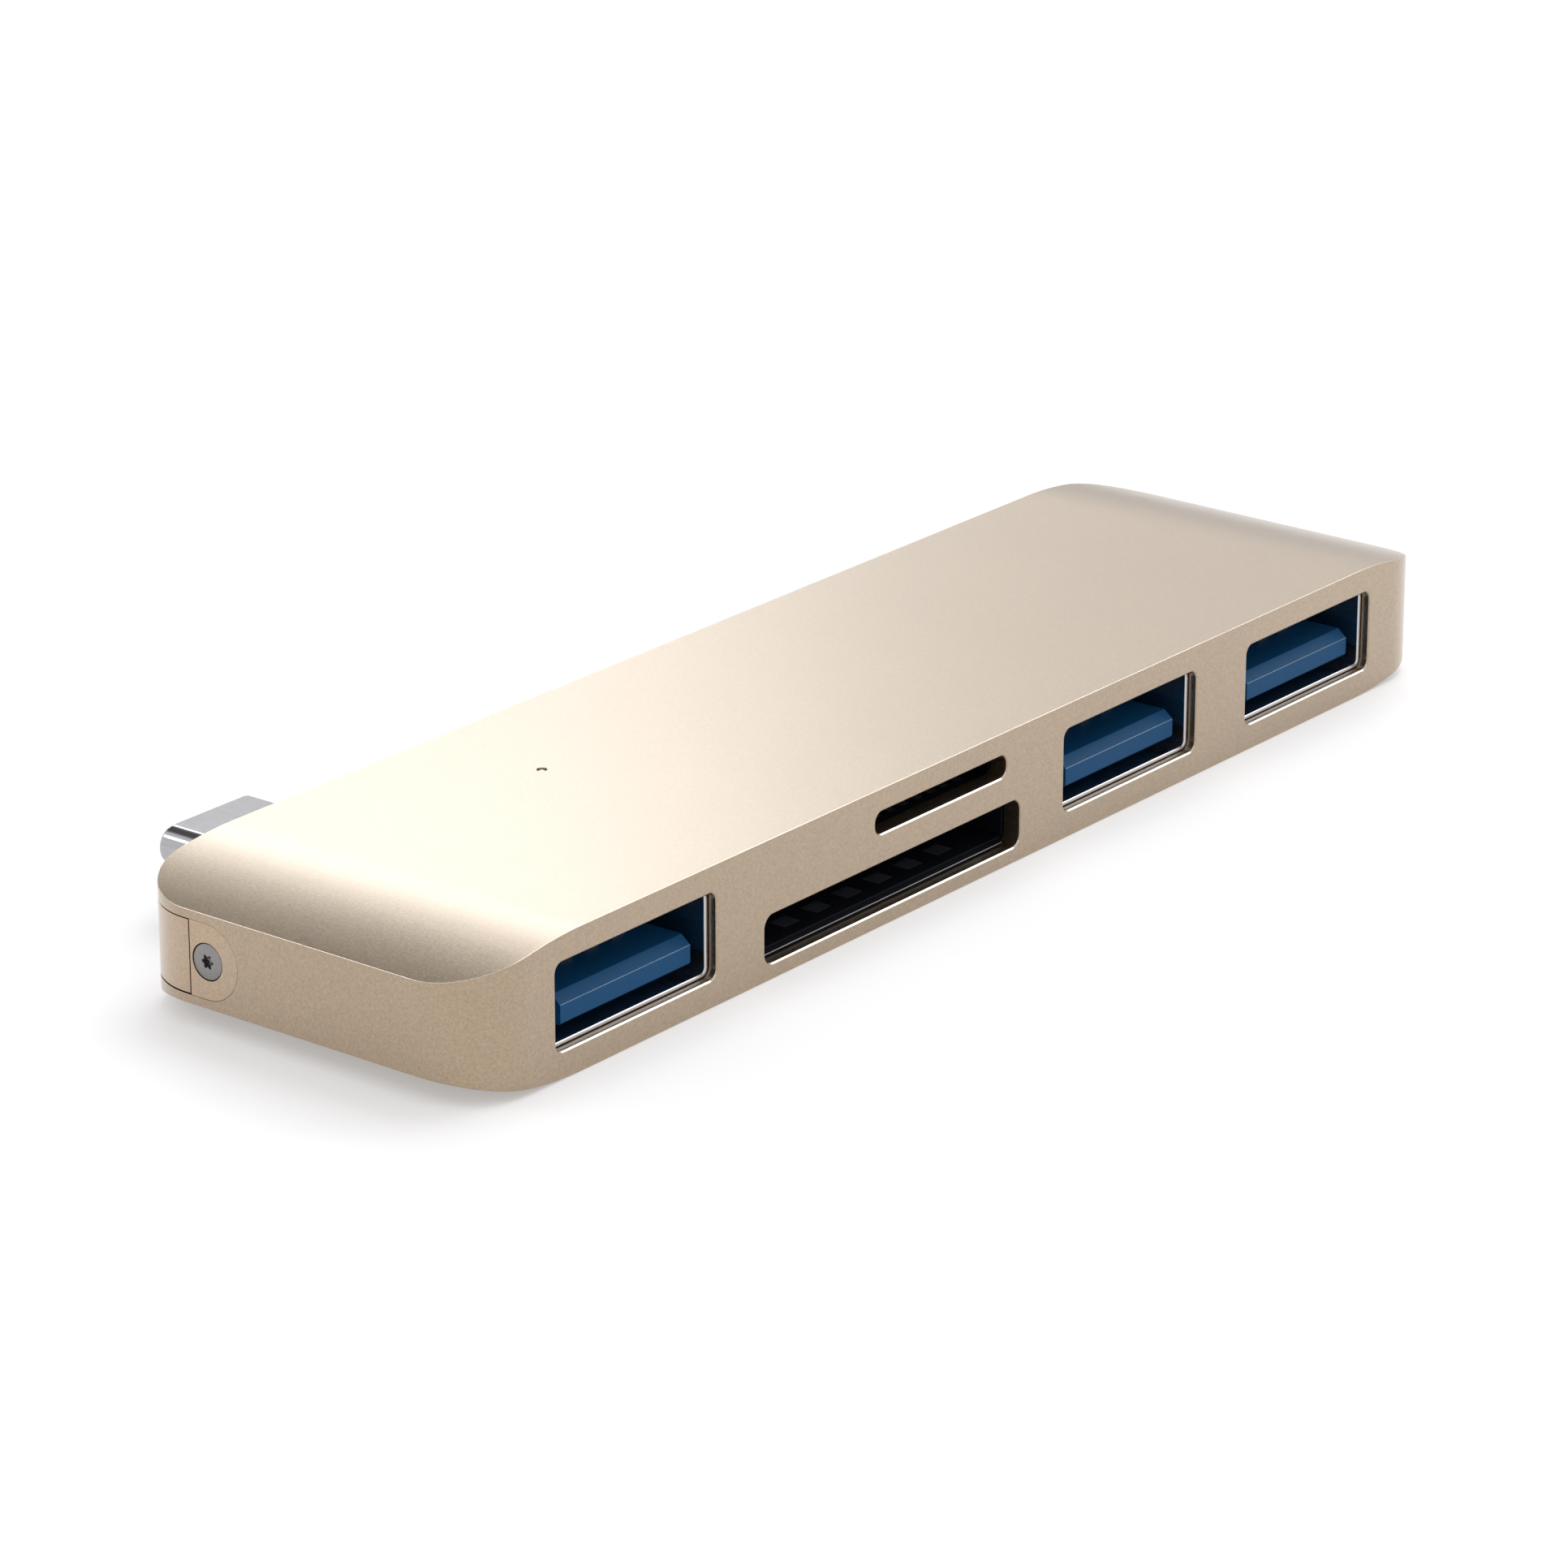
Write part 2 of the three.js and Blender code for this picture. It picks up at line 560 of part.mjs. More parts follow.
function clampNut() {
  const half = NUT.size / 2;
  const right = NUT.left + NUT.thickness;
  const square = box(
    [NUT.left, right],
    [CLAMP.y - half, CLAMP.y + half],
    [CLAMP.z - half, CLAMP.z + half],
  );
  return square.subtract(
    cylinderX(CLAMP_HOLE, [NUT.left - CUT, right + CUT], CLAMP.y, CLAMP.z, 16),
  );
}

// ---------------------------------------------------------------- plug carriage

function plugOutline(margin) {
  const width = PLUG.width + 2 * margin;
  const height = PLUG.height + 2 * margin;
  return centredRectangle(width, height, height / 2 - 0.02);
}

function plugPrism(margin, y) {
  return alongY(plugOutline(margin), y, 6).translate([PLUG.x, 0, PLUG.z]);
}

// The hole that the plug passes through in what stands round it.
function plugPassage() {
  return plugPrism(CLEAR, [PLUG.back - 3 * CUT, FACE_Y + CUT]);
}

function plugBlock() {
  const whole = box(
    [-END_X - CUT, BLOCK.right - SEAM],
    [BLOCK.front, FACE_Y + CUT],
    [BLOCK.low + SEAM, BLOCK.high - SEAM],
  ).intersect(body(0));
  const inside = box(
    [-END_X + BLOCK.skin, BLOCK.right + CUT],
    [0, FACE_Y - BLOCK.rearWall],
    [0, HEIGHT],
  );
  return whole.subtract(inside).subtract(plugPassage());
}

// A bent steel strip: one leg behind the block's rear wall, the other behind the clamp plate with
// the slot that the clamp screw passes through.
function carriageArm() {
  const outer = -END_X + BLOCK.skin + CLEAR;
  const inner = outer + ARM.thickness;
  const back = FACE_Y - BLOCK.rearWall - CLEAR;
  const bent = polygon([
    [outer, ARM.front],
    [inner, ARM.front],
    [inner, back - ARM.thickness],
    [ARM.right, back - ARM.thickness],
    [ARM.right, back],
    [outer, back],
  ]);
  const slotRadius = CLAMP_SCREW.radius + ARM.slotGap;
  const slot = new THREE.Shape();
  slot.absarc(CLAMP.y, CLAMP.z, slotRadius, -Math.PI / 2, Math.PI / 2);
  slot.absarc(CLAMP.y - TRAVEL, CLAMP.z, slotRadius, Math.PI / 2, 1.5 * Math.PI);
  return alongZ(bent, [ARM.low, ARM.high])
    .subtract(alongX(slot, [outer - CUT, inner + CUT], 8))
    .subtract(plugPassage());
}

function plugShell() {
  const tube = plugPrism(0, [PLUG.back, PLUG.tip]);
  return tube.subtract(plugPrism(-PLUG.sheet, [PLUG.back - CUT, PLUG.tip + CUT]));
}

function plugInsulator() {
  const core = plugPrism(-PLUG.sheet - FIT, [PLUG.back + CLEAR, PLUG_CAVITY.front]);
  const half = PLUG_CAVITY.width / 2;
  const rise = PLUG_CAVITY.height / 2;
  const cavity = box(
    [PLUG.x - half, PLUG.x + half],
    [PLUG_CAVITY.front - PLUG_CAVITY.depth, PLUG.tip + CUT],
    [PLUG.z - rise, PLUG.z + rise],
  );
  return core.subtract(cavity);
}

// One row of plug contacts, with its bar at the bottom of the cavity.
function plugContacts(side) {
  const { length, sheet, bar } = PLUG_CONTACTS;
  const bottom = PLUG_CAVITY.front - PLUG_CAVITY.depth + FIT;
  const outline = comb(PLUG_CONTACTS, [-bottom - length, -bottom], bar);
  const flat = alongZ(outline, [-sheet / 2, sheet / 2]).rotate([0, 0, 180]);
  const offset = PLUG_CAVITY.height / 2 - FIT - sheet / 2;
  return flat.translate([PLUG.x, 0, PLUG.z + side * offset]);
}

// The fork at the cavity's two sides that clicks into a socket's tongue.
function plugLatch() {
  const bottom = PLUG_CAVITY.front - PLUG_CAVITY.depth + FIT;
  const half = PLUG_CAVITY.width / 2 - CLEAR;
  const z = [PLUG.z - LATCH.thickness / 2, PLUG.z + LATCH.thickness / 2];
  const y = [bottom, bottom + LATCH.length];
  const left = PLUG.x - half;
  const right = PLUG.x + half;
  return joined([
    box([left, right], [bottom, bottom + LATCH.bar], z),
    box([left, left + LATCH.arm], y, z),
    box([right - LATCH.arm, right], y, z),
  ]);
}

function plugOvermould() {
  const armFace = FACE_Y - BLOCK.rearWall - CLEAR - ARM.thickness;
  const { margin, height, radius } = OVERMOULD;
  const outline = centredRectangle(PLUG.width + 2 * margin, height, radius);
  const collar = alongY(outline, [PLUG.back, armFace - CLEAR], 3);
  return collar.translate([PLUG.x, 0, PLUG.z]).subtract(plugPassage());
}

function plugCarriage() {
  return [
    node('plug_block', plugBlock(), ANODISED),
    node('carriage_arm', carriageArm(), DARK_STEEL),
    node('plug_shell', plugShell(), STEEL),
    node('plug_insulator', plugInsulator(), BLACK_PLASTIC),
    node('plug_contacts_upper', plugContacts(1), GOLD),
    node('plug_contacts_lower', plugContacts(-1), GOLD),
    node('plug_latch', plugLatch(), DARK_STEEL),
    node('plug_overmould', plugOvermould(), BLACK_PLASTIC),
    node('plug_board', box(PLUG_BOARD.x, PLUG_BOARD.y, PLUG_BOARD.z), BOARD_GREEN),
  ];
}

// ---------------------------------------------------------------- the hub

const hub = new THREE.Group();
hub.add(node('housing', housing(), ANODISED));
hub.add(node('base_cover', baseCover(), ANODISED));
PORT_CENTRES.forEach((x, i) => hub.add(usbAReceptacle(i + 1, x)));
hub.add(...cardSockets());
hub.add(...electronics());
hub.add(node('clamp_plate', clampPlate(), ANODISED));
hub.add(node('clamp_nut', clampNut(), DARK_STEEL));
hub.add(node('clamp_screw', clampScrew(), DARK_STEEL));
hub.add(...plugCarriage());

export default hub;
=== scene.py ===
import math

import bmesh
import bpy
from mathutils import Matrix, Vector


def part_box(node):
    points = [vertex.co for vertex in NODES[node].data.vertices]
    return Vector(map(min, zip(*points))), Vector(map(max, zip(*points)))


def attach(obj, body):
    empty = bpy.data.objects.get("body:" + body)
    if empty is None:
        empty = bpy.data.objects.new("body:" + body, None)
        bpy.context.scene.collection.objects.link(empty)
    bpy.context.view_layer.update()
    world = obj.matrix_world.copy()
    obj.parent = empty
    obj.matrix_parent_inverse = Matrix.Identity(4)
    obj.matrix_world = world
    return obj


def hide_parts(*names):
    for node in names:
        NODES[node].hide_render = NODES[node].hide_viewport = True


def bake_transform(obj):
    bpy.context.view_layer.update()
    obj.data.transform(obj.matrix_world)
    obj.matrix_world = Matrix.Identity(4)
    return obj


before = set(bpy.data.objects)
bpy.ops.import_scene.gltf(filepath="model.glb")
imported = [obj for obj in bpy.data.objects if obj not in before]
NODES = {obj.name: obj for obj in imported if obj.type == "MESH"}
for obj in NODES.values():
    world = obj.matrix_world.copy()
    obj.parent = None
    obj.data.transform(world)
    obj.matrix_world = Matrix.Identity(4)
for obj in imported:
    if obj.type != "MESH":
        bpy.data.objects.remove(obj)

# The looks of an aluminium combo USB hub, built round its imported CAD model. Shapes are written in
# millimetres in the frame of the CAD model and turned into metres when a mesh is made.

MM = 0.001
SCENE = bpy.context.scene
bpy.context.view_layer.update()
HUB = "hub_body"
CARRIAGE = "plug_carriage"
SCREW = "clamp_screw_body"


def box_mm(node):
    low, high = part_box(node)
    return low / MM, high / MM


# ---------------------------------------------------------------- sizes, from the frame where it has them

HOUSE_HIGH = box_mm("housing")[1]
END_X = HOUSE_HIGH.x
FACE_Y = HOUSE_HIGH.y
HEIGHT = HOUSE_HIGH.z
MID_Z = HEIGHT / 2
CORNER = 4.55  # radius of the body's corners, seen from above
ROLL_LENGTH = 9.09  # length over which the top curves down towards each end
ROLL_DROP = 1.46  # how far it has come down at the end
ROLL_RADIUS = (ROLL_LENGTH**2 + ROLL_DROP**2) / (2 * ROLL_DROP)
FLAT_X = END_X - ROLL_LENGTH
WALL = 1.2  # thickness of the walls
SKIN = 1.0  # thickness of the top
RIM = 0.055  # radius of the edge between the walls and the top
INNER_RIM = 0.05
SEAM = 0.08
COVER_CORNER = 3.0
COVER_REBATE = 0.2  # how far the base cover's opening goes in past the skin
PAST = 1.0  # how far a cutting shape reaches past the surface that it cuts
OVERCUT = 0.1  # the same where there is little room

ARM_POCKET_SKIN = 0.9  # what is left of the end wall where the carriage's arm slides
ARM_POCKET_DEPTH = 1.5  # from the end face
ARM_POCKET_BACK_Y = 10.0
ARM_ROOM = 0.15
ARM_ROOM_FRONT = 0.3
BOSS_RADIUS = 1.7
BOSS_HOLE_RADIUS = 0.7
BOSS_HOLE_ROOF = 1.3  # from the top of the body
BOARD_GAP = 0.05
NUT_GAP = 0.05
NUT_RIB_OVERLAP = 0.6
NUT_RIB_STEP = 0.15
LIGHT_HOLE_RADIUS = 0.325

PORTS = [f"usb_a_shield_{i}" for i in (1, 2, 3)]
PORT_SIZE = (14.0, 5.27)
PORT_CORNER = 0.6
MOUTH_CHAMFER = 0.08
MOUTH_DEPTH = 2.2
MOUTH_FLARE = 0.3  # how far the chamfer's slope goes on in front of the face
SHEET = 0.24  # thickness of a USB-A shield

SD_SIZE = (24.59, 2.98)
SD_CORNER = 0.75
SD_LOW = 0.97
MICROSD_SIZE = (12.86, 1.4)
MICROSD_CORNER = 0.62
MICROSD_LOW = 5.77

ROUND_STEPS = 48
COARSE_ROUND_STEPS = 32
FINE_ROUND_STEPS = 64
SMOOTH_EDGE_STEPS = 2


# ---------------------------------------------------------------- mesh building

def arc(centre, radius, start, stop, steps):
    points = []
    for i in range(steps + 1):
        angle = math.radians(start + (stop - start) * i / steps)
        points.append((centre[0] + radius * math.cos(angle), centre[1] + radius * math.sin(angle)))
    return points


def rounded_rectangle(width, height, radius, grow=0.0, steps=8):
    """Points of a rounded rectangle about the origin, anticlockwise."""
    x = width / 2 - radius
    y = height / 2 - radius
    points = []
    for cx, cy, start in ((x, -y, -90), (x, y, 0), (-x, y, 90), (-x, -y, 180)):
        points += arc((cx, cy), radius + grow, start, start + 90, steps)
    return points


def loft(loops, capped=True):
    """A skin over closed loops that have the same number of points."""
    count = len(loops[0])
    vertices = [point for loop in loops for point in loop]
    faces = []
    for k in range(len(loops) - 1):
        for i in range(count):
            j = (i + 1) % count
            a, b = k * count, (k + 1) * count
            faces.append((a + i, a + j, b + j, b + i))
    if capped:
        faces.append(tuple(range(count))[::-1])
        faces.append(tuple(range((len(loops) - 1) * count, len(loops) * count)))
    return vertices, faces


def along_x(outline, *stations):
    """An outline in YZ, repeated at each x station."""
    return loft([[(x, y, z) for y, z in outline] for x in stations])


def along_y(outline, *stations):
    """An outline in XZ, repeated at each y station."""
    return loft([[(x, y, z) for x, z in outline] for y in stations])


def along_z(outline, *stations):
    """An outline in XY, repeated at each z station."""
    return loft([[(x, y, z) for x, y in outline] for z in stations])


def block(low, high):
    outline = [(low[0], low[1]), (high[0], low[1]), (high[0], high[1]), (low[0], high[1])]
    return along_z(outline, low[2], high[2])


def merged(*solids):
    """Several separate solids as the vertices and faces of one mesh."""
    vertices, faces = [], []
    for points, polygons in solids:
        start = len(vertices)
        vertices += points
        faces += [tuple(start + i for i in face) for face in polygons]
    return vertices, faces


def moved(solid, x=0.0, y=0.0, z=0.0):
    points, faces = solid
    return [(p[0] + x, p[1] + y, p[2] + z) for p in points], faces


def make(name, solid):
    """A mesh object in metres, from vertices and faces in millimetres."""
    points, faces = solid
    mesh = bpy.data.meshes.new(name)
    mesh.from_pydata([Vector(p) * MM for p in points], [], faces)
    bm = bmesh.new()
    bm.from_mesh(mesh)
    bmesh.ops.recalc_face_normals(bm, faces=bm.faces)
    bm.to_mesh(mesh)
    bm.free()
    obj = bpy.data.objects.new(name, mesh)
    SCENE.collection.objects.link(obj)
    return obj


def boolean(obj, solid, operation="DIFFERENCE"):
    """Cuts a solid out of an object, or joins or crosses the two, and keeps the result as its mesh."""
    tool = make("tool", solid)
    modifier = obj.modifiers.new("boolean", "BOOLEAN")
    modifier.operation = operation
    modifier.solver = "EXACT"
    modifier.object = tool
    graph = bpy.context.evaluated_depsgraph_get()
    mesh = bpy.data.meshes.new_from_object(obj.evaluated_get(graph))
    obj.modifiers.clear()
    old = obj.data
    obj.data = mesh
    bpy.data.meshes.remove(old)
    tool_mesh = tool.data
    bpy.data.objects.remove(tool)
    bpy.data.meshes.remove(tool_mesh)


def soften(obj, bevel=0.0, sharp_deg=34.0):
    """Smooth shading between shallow edges, with a small rounded edge where bevel says so."""
    mesh = obj.data
    for polygon in mesh.polygons:
        polygon.use_smooth = True
    if bevel:
        edge = obj.modifiers.new("edge", "BEVEL")
        edge.width = bevel * MM
        edge.segments = SMOOTH_EDGE_STEPS
        edge.limit_method = "ANGLE"
        edge.angle_limit = math.radians(30)
        edge.use_clamp_overlap = True
    else:
        mesh.set_sharp_from_angle(angle=math.radians(sharp_deg))
    weighted = obj.modifiers.new("normals", "WEIGHTED_NORMAL")
    weighted.keep_sharp = True
    return obj


def paint(obj, *materials):
    obj.data.materials.clear()
    for material in materials:
        obj.data.materials.append(material)


def place(obj, body, slot, material, *nodes):
    """Gives a finished piece its material and its body, and hides the CAD nodes that it stands for."""
    if material is not None:
        paint(obj, material)
    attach(obj, body)
    if nodes:
        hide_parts(*nodes)


# ---------------------------------------------------------------- materials

SOCKETS = {
    "metallic": "Metallic",
    "specular": "Specular IOR Level",
    "coat_weight": "Coat Weight",
    "coat_roughness": "Coat Roughness",
    "coat_ior": "Coat IOR",
    "transmission": "Transmission Weight",
}


def surface(name, tones, grain, roughness, bump=0.0, stretch=(1, 1, 1), blotch=0.0, **sockets):
    """A procedural surface. tones are two close colours that a fine noise mixes, grain is the size
    of the noise's features in mm, roughness is a low and a high value, bump is the relief in
    microns, stretch draws the grain out along an axis, and blotch adds slow changes of tone."""
    material = bpy.data.materials.new(name)
    material.use_nodes = True
    nodes, links = material.node_tree.nodes, material.node_tree.links
    shader = nodes["Principled BSDF"]
    for socket, value in sockets.items():
        shader.inputs[SOCKETS[socket]].default_value = value
    place_node = nodes.new("ShaderNodeTexCoord")
    mapping = nodes.new("ShaderNodeMapping")
    for axis in range(3):
        mapping.inputs["Scale"].default_value[axis] = stretch[axis] / (grain * MM)
    links.new(place_node.outputs["Object"], mapping.inputs["Vector"])
    noise = nodes.new("ShaderNodeTexNoise")
    noise.inputs["Scale"].default_value = 1.0
    noise.inputs["Detail"].default_value = 3.0
    noise.inputs["Roughness"].default_value = 0.6
    links.new(mapping.outputs["Vector"], noise.inputs["Vector"])
    ramp = nodes.new("ShaderNodeValToRGB")
    ramp.color_ramp.elements[0].position = 0.3
    ramp.color_ramp.elements[1].position = 0.7
    ramp.color_ramp.elements[0].color = (*tones[0], 1)
    ramp.color_ramp.elements[1].color = (*tones[1], 1)
    links.new(noise.outputs["Fac"], ramp.inputs["Fac"])
    colour = ramp.outputs["Color"]
    if blotch:
        slow = nodes.new("ShaderNodeTexNoise")
        slow.inputs["Scale"].default_value = 90.0
        slow.inputs["Detail"].default_value = 2.0
        links.new(place_node.outputs["Object"], slow.inputs["Vector"])
        shade = nodes.new("ShaderNodeMapRange")
        shade.inputs["From Min"].default_value = 0.3
        shade.inputs["From Max"].default_value = 0.7
        shade.inputs["To Min"].default_value = 1.0 - blotch
        shade.inputs["To Max"].default_value = 1.0
        links.new(slow.outputs["Fac"], shade.inputs["Value"])
        mix = nodes.new("ShaderNodeMix")
        mix.data_type = "RGBA"
        mix.blend_type = "MULTIPLY"
        mix.inputs["Factor"].default_value = 1.0
        links.new(colour, mix.inputs["A"])
        links.new(shade.outputs["Result"], mix.inputs["B"])
        colour = mix.outputs["Result"]
    links.new(colour, shader.inputs["Base Color"])
    rough = nodes.new("ShaderNodeMapRange")
    rough.inputs["From Min"].default_value = 0.3
    rough.inputs["From Max"].default_value = 0.7
    rough.inputs["To Min"].default_value = roughness[0]
    rough.inputs["To Max"].default_value = roughness[1]
    links.new(noise.outputs["Fac"], rough.inputs["Value"])
    links.new(rough.outputs["Result"], shader.inputs["Roughness"])
    if bump:
        relief = nodes.new("ShaderNodeBump")
        relief.inputs["Strength"].default_value = 1.0
        relief.inputs["Distance"].default_value = bump * 1e-6
        links.new(noise.outputs["Fac"], relief.inputs["Height"])
        links.new(relief.outputs["Normal"], shader.inputs["Normal"])
    return material


def anodised(name, tone):
    """Bead-blasted, anodised aluminium: a fine, slightly sparkling grain under a clear oxide layer."""
    dark, light = [0.72 * c for c in tone], [1.05 * c for c in tone]
    return surface(name, (dark, light), 0.15, (0.28, 0.38), bump=10.0, blotch=0.03,
                   metallic=1.0, coat_weight=1.0, coat_ior=1.85, coat_roughness=0.30)


def cut_edge_painted_highlight():
    """The mouths' chamfers and the top's rim, cut after blasting and left brighter. Their lighter colour is
    partly this cut finish and partly a painted highlight, as only the upward-facing ones get it.
    """
    return surface("cut_edge_painted_highlight", ((0.46, 0.40, 0.325), (0.55, 0.49, 0.41)), 0.1, (0.2, 0.3),
                   bump=0.6, stretch=(0.1, 1, 1), metallic=1.0, coat_weight=0.3)


def nickel(name="nickel", rough=(0.16, 0.26), stretch=(0.08, 1, 1), tone=(0.56, 0.56, 0.58)):
    dark = [0.9 * c for c in tone]
    return surface(name, (dark, tone), 0.08, rough, bump=0.15, stretch=stretch, metallic=1.0)


def blue_plastic():
    return surface("blue_plastic", ((0.003, 0.052, 0.138), (0.004, 0.062, 0.162)), 0.12,
                   (0.38, 0.5), bump=3.0, specular=0.12)


def black_plastic():
    return surface("black_plastic", ((0.002, 0.0025, 0.005), (0.004, 0.005, 0.009)), 0.15,
                   (0.5, 0.65), bump=3.0, specular=0.10)


ALU_TONE = (0.40, 0.286, 0.173)
MATERIALS = {
    "housing": anodised("anodised_housing", ALU_TONE),
    "insert": anodised("anodised_insert", (0.45, 0.314, 0.192)),
    # Lighter colour for the upward-facing mouth chamfers and the top rim: partly a brighter cut finish,
    # partly a painted highlight.
    "cut": cut_edge_painted_highlight(),
    "nickel": nickel(),
    "plug": nickel("plug_nickel", (0.06, 0.09), (1, 0.08, 1), (0.44, 0.435, 0.45)),
    "screw": surface("screw_steel", ((0.22, 0.215, 0.21), (0.29, 0.285, 0.28)), 0.06, (0.28, 0.4),
                     bump=2.0, metallic=1.0),
    "dark_steel": surface("dark_steel", ((0.26, 0.26, 0.27), (0.36, 0.36, 0.37)), 0.1,
                          (0.3, 0.45), bump=2.0, stretch=(0.1, 1, 1), metallic=1.0),
    "blue": blue_plastic(),
    # A lighter, glossier blue for the tongue's lip facet: the lighter colour is a painted highlight.
    "blue_lip_highlight": surface("blue_plastic_painted_highlight", ((0.05, 0.13, 0.22), (0.07, 0.16, 0.26)), 0.12,
                         (0.22, 0.3), bump=1.0),
    "black": black_plastic(),
    "pad": surface("contact_end_plating", ((0.020, 0.024, 0.032), (0.028, 0.033, 0.044)), 0.1,
                   (0.4, 0.55), bump=1.0, specular=0.3),
    "copper": surface("enamelled_copper", ((0.50, 0.19, 0.07), (0.62, 0.26, 0.10)), 0.06, (0.2, 0.3),
                      bump=0.5, metallic=1.0, coat_weight=0.5),
    "gold": surface("gold_plate", ((0.78, 0.53, 0.20), (0.90, 0.64, 0.27)), 0.08, (0.2, 0.32),
                    bump=0.6, stretch=(1, 0.1, 1), metallic=1.0),
    "board": surface("solder_mask", ((0.004, 0.06, 0.035), (0.01, 0.10, 0.06)), 0.6, (0.3, 0.45),
                     bump=6.0, stretch=(0.25, 1, 1), coat_weight=0.4),
    "ceramic": surface("capacitor_ceramic", ((0.30, 0.20, 0.12), (0.40, 0.28, 0.17)), 0.1,
                       (0.45, 0.6), bump=4.0),
    "ferrite": surface("ferrite", ((0.035, 0.036, 0.038), (0.06, 0.061, 0.064)), 0.12,
                       (0.6, 0.8), bump=8.0),
    "silicone": surface("thermal_silicone", ((0.20, 0.23, 0.26), (0.25, 0.28, 0.31)), 0.2,
                        (0.75, 0.9), bump=8.0),
    "clear": surface("light_pipe_plastic", ((0.84, 0.86, 0.85), (0.92, 0.94, 0.93)), 0.3,
                     (0.12, 0.2), bump=1.0, transmission=0.1),
    "flex": surface("polyimide", ((0.34, 0.13, 0.015), (0.46, 0.20, 0.03)), 0.35, (0.25, 0.38),
                    bump=3.0, stretch=(0.05, 1, 1), coat_weight=0.3),
}


# ---------------------------------------------------------------- the body's outer surface

CORNER_STEPS = 20
ROLL_STEPS = 8
RIM_STEPS = 4


def dropped(x, skin=0.0):
    """Height of the top surface at x, or of a surface a skin's thickness inside it."""
    past = max(0.0, abs(x) - FLAT_X)
    return HEIGHT - ROLL_RADIUS + math.sqrt((ROLL_RADIUS - skin) ** 2 - past**2)


def half_plan(side):
    """The far half of the plan outline from the left end to the right, as (x, y, normal x, normal y)."""
    radius = CORNER - side
    centre_x = END_X - CORNER
    centre_y = FACE_Y - CORNER
    right = []
    for i in range(ROLL_STEPS + 1):
        x = FLAT_X + (centre_x - FLAT_X) * i / ROLL_STEPS
        right.append((x, FACE_Y - side, 0.0, 1.0))
    for i in range(1, CORNER_STEPS + 1):
        angle = math.pi / 2 * (1 - i / CORNER_STEPS)
        nx, ny = math.cos(angle), math.sin(angle)
        right.append((centre_x + radius * nx, centre_y + radius * ny, nx, ny))
    left = [(-x, y, -nx, ny) for x, y, nx, ny in reversed(right)]
    return left + right


def body_solid(side=0.0, skin=0.0, rim=RIM):
    """The rounded bar: a plan outline with round corners, a top and an underside that curve
    towards each other at the ends, and a rounded rim of the given radius between them."""
    far = half_plan(side)
    near = [(x, -y, nx, -ny) for x, y, nx, ny in reversed(far)]
    ring = far + near
    count = len(ring)
    loops = []
    for upper in (False, True):
        levels = range(RIM_STEPS + 1) if upper else range(RIM_STEPS, -1, -1)
        for k in levels:
            turn = math.pi / 2 * k / RIM_STEPS
            inset = rim * (1 - math.cos(turn))
            fall = rim * (1 - math.sin(turn))
            loop = []
            for x, y, nx, ny in ring:
                px, py = x - nx * inset, y - ny * inset
                top = dropped(px, skin) - fall
                loop.append((px, py, top if upper else HEIGHT - top))
            loops.append(loop)
    vertices, faces = loft(loops, capped=False)
    half = count // 2
    for base, flip in ((0, True), (len(vertices) - count, False)):
        for i in range(half - 1):
            quad = (base + i, base + i + 1, base + count - 2 - i, base + count - 1 - i)
            faces.append(quad[::-1] if flip else quad)
    return vertices, faces


# ---------------------------------------------------------------- housing

def mouth_cutter(size, corner, x, z):
    """A straight cut through the front wall that flares out over the chamfer at its mouth."""
    front = -FACE_Y
    loops = []
    for y, grow in ((front - MOUTH_FLARE, MOUTH_CHAMFER + MOUTH_FLARE), (front + MOUTH_CHAMFER, 0.0),
                    (front + MOUTH_DEPTH, 0.0)):
        outline = rounded_rectangle(*size, corner, grow)
        loops.append([(x + px, y, z + pz) for px, pz in outline])
    return loft(loops)


def port_places():
    places = []
    for node in PORTS:
        low, high = box_mm(node)
        places.append(((low.x + high.x) / 2, (low.z + high.z) / 2))
    return places


def slot_centre(node, size, low_z):
    low, high = box_mm(node)
    return (low.x + high.x) / 2, low_z + size[1] / 2


def corner_window(gap, reach):
    """The outline in YZ that the corner block and the clamp plate fill, with a round front end."""
    low, high = box_mm("clamp_plate")
    half = (high.z - low.z) / 2 + SEAM - gap
    y = centre_of("clamp_screw").y
    z = (high.z + low.z) / 2
    return arc((y, z), half, 90, 270, 24) + [(reach, z - half), (reach, z + half)]


def centre_of(node):
    low, high = box_mm(node)
    return (low + high) / 2


def circle(radius, steps=ROUND_STEPS):
    """Points of a circle about the origin, without the last one that would repeat the first."""
    return arc((0, 0), radius, 0, 360, steps)[:-1]


def cylinder_z(radius, x, y, low, high, steps=ROUND_STEPS):
    return along_z([(x + px, y + py) for px, py in circle(radius, steps)], low, high)


def cylinder_x(radius, y, z, low, high, steps=ROUND_STEPS):
    return along_x([(y + py, z + pz) for py, pz in circle(radius, steps)], low, high)


def boss_places():
    return [centre_of(f"board_screw_{i}") for i in (1, 2, 3)]


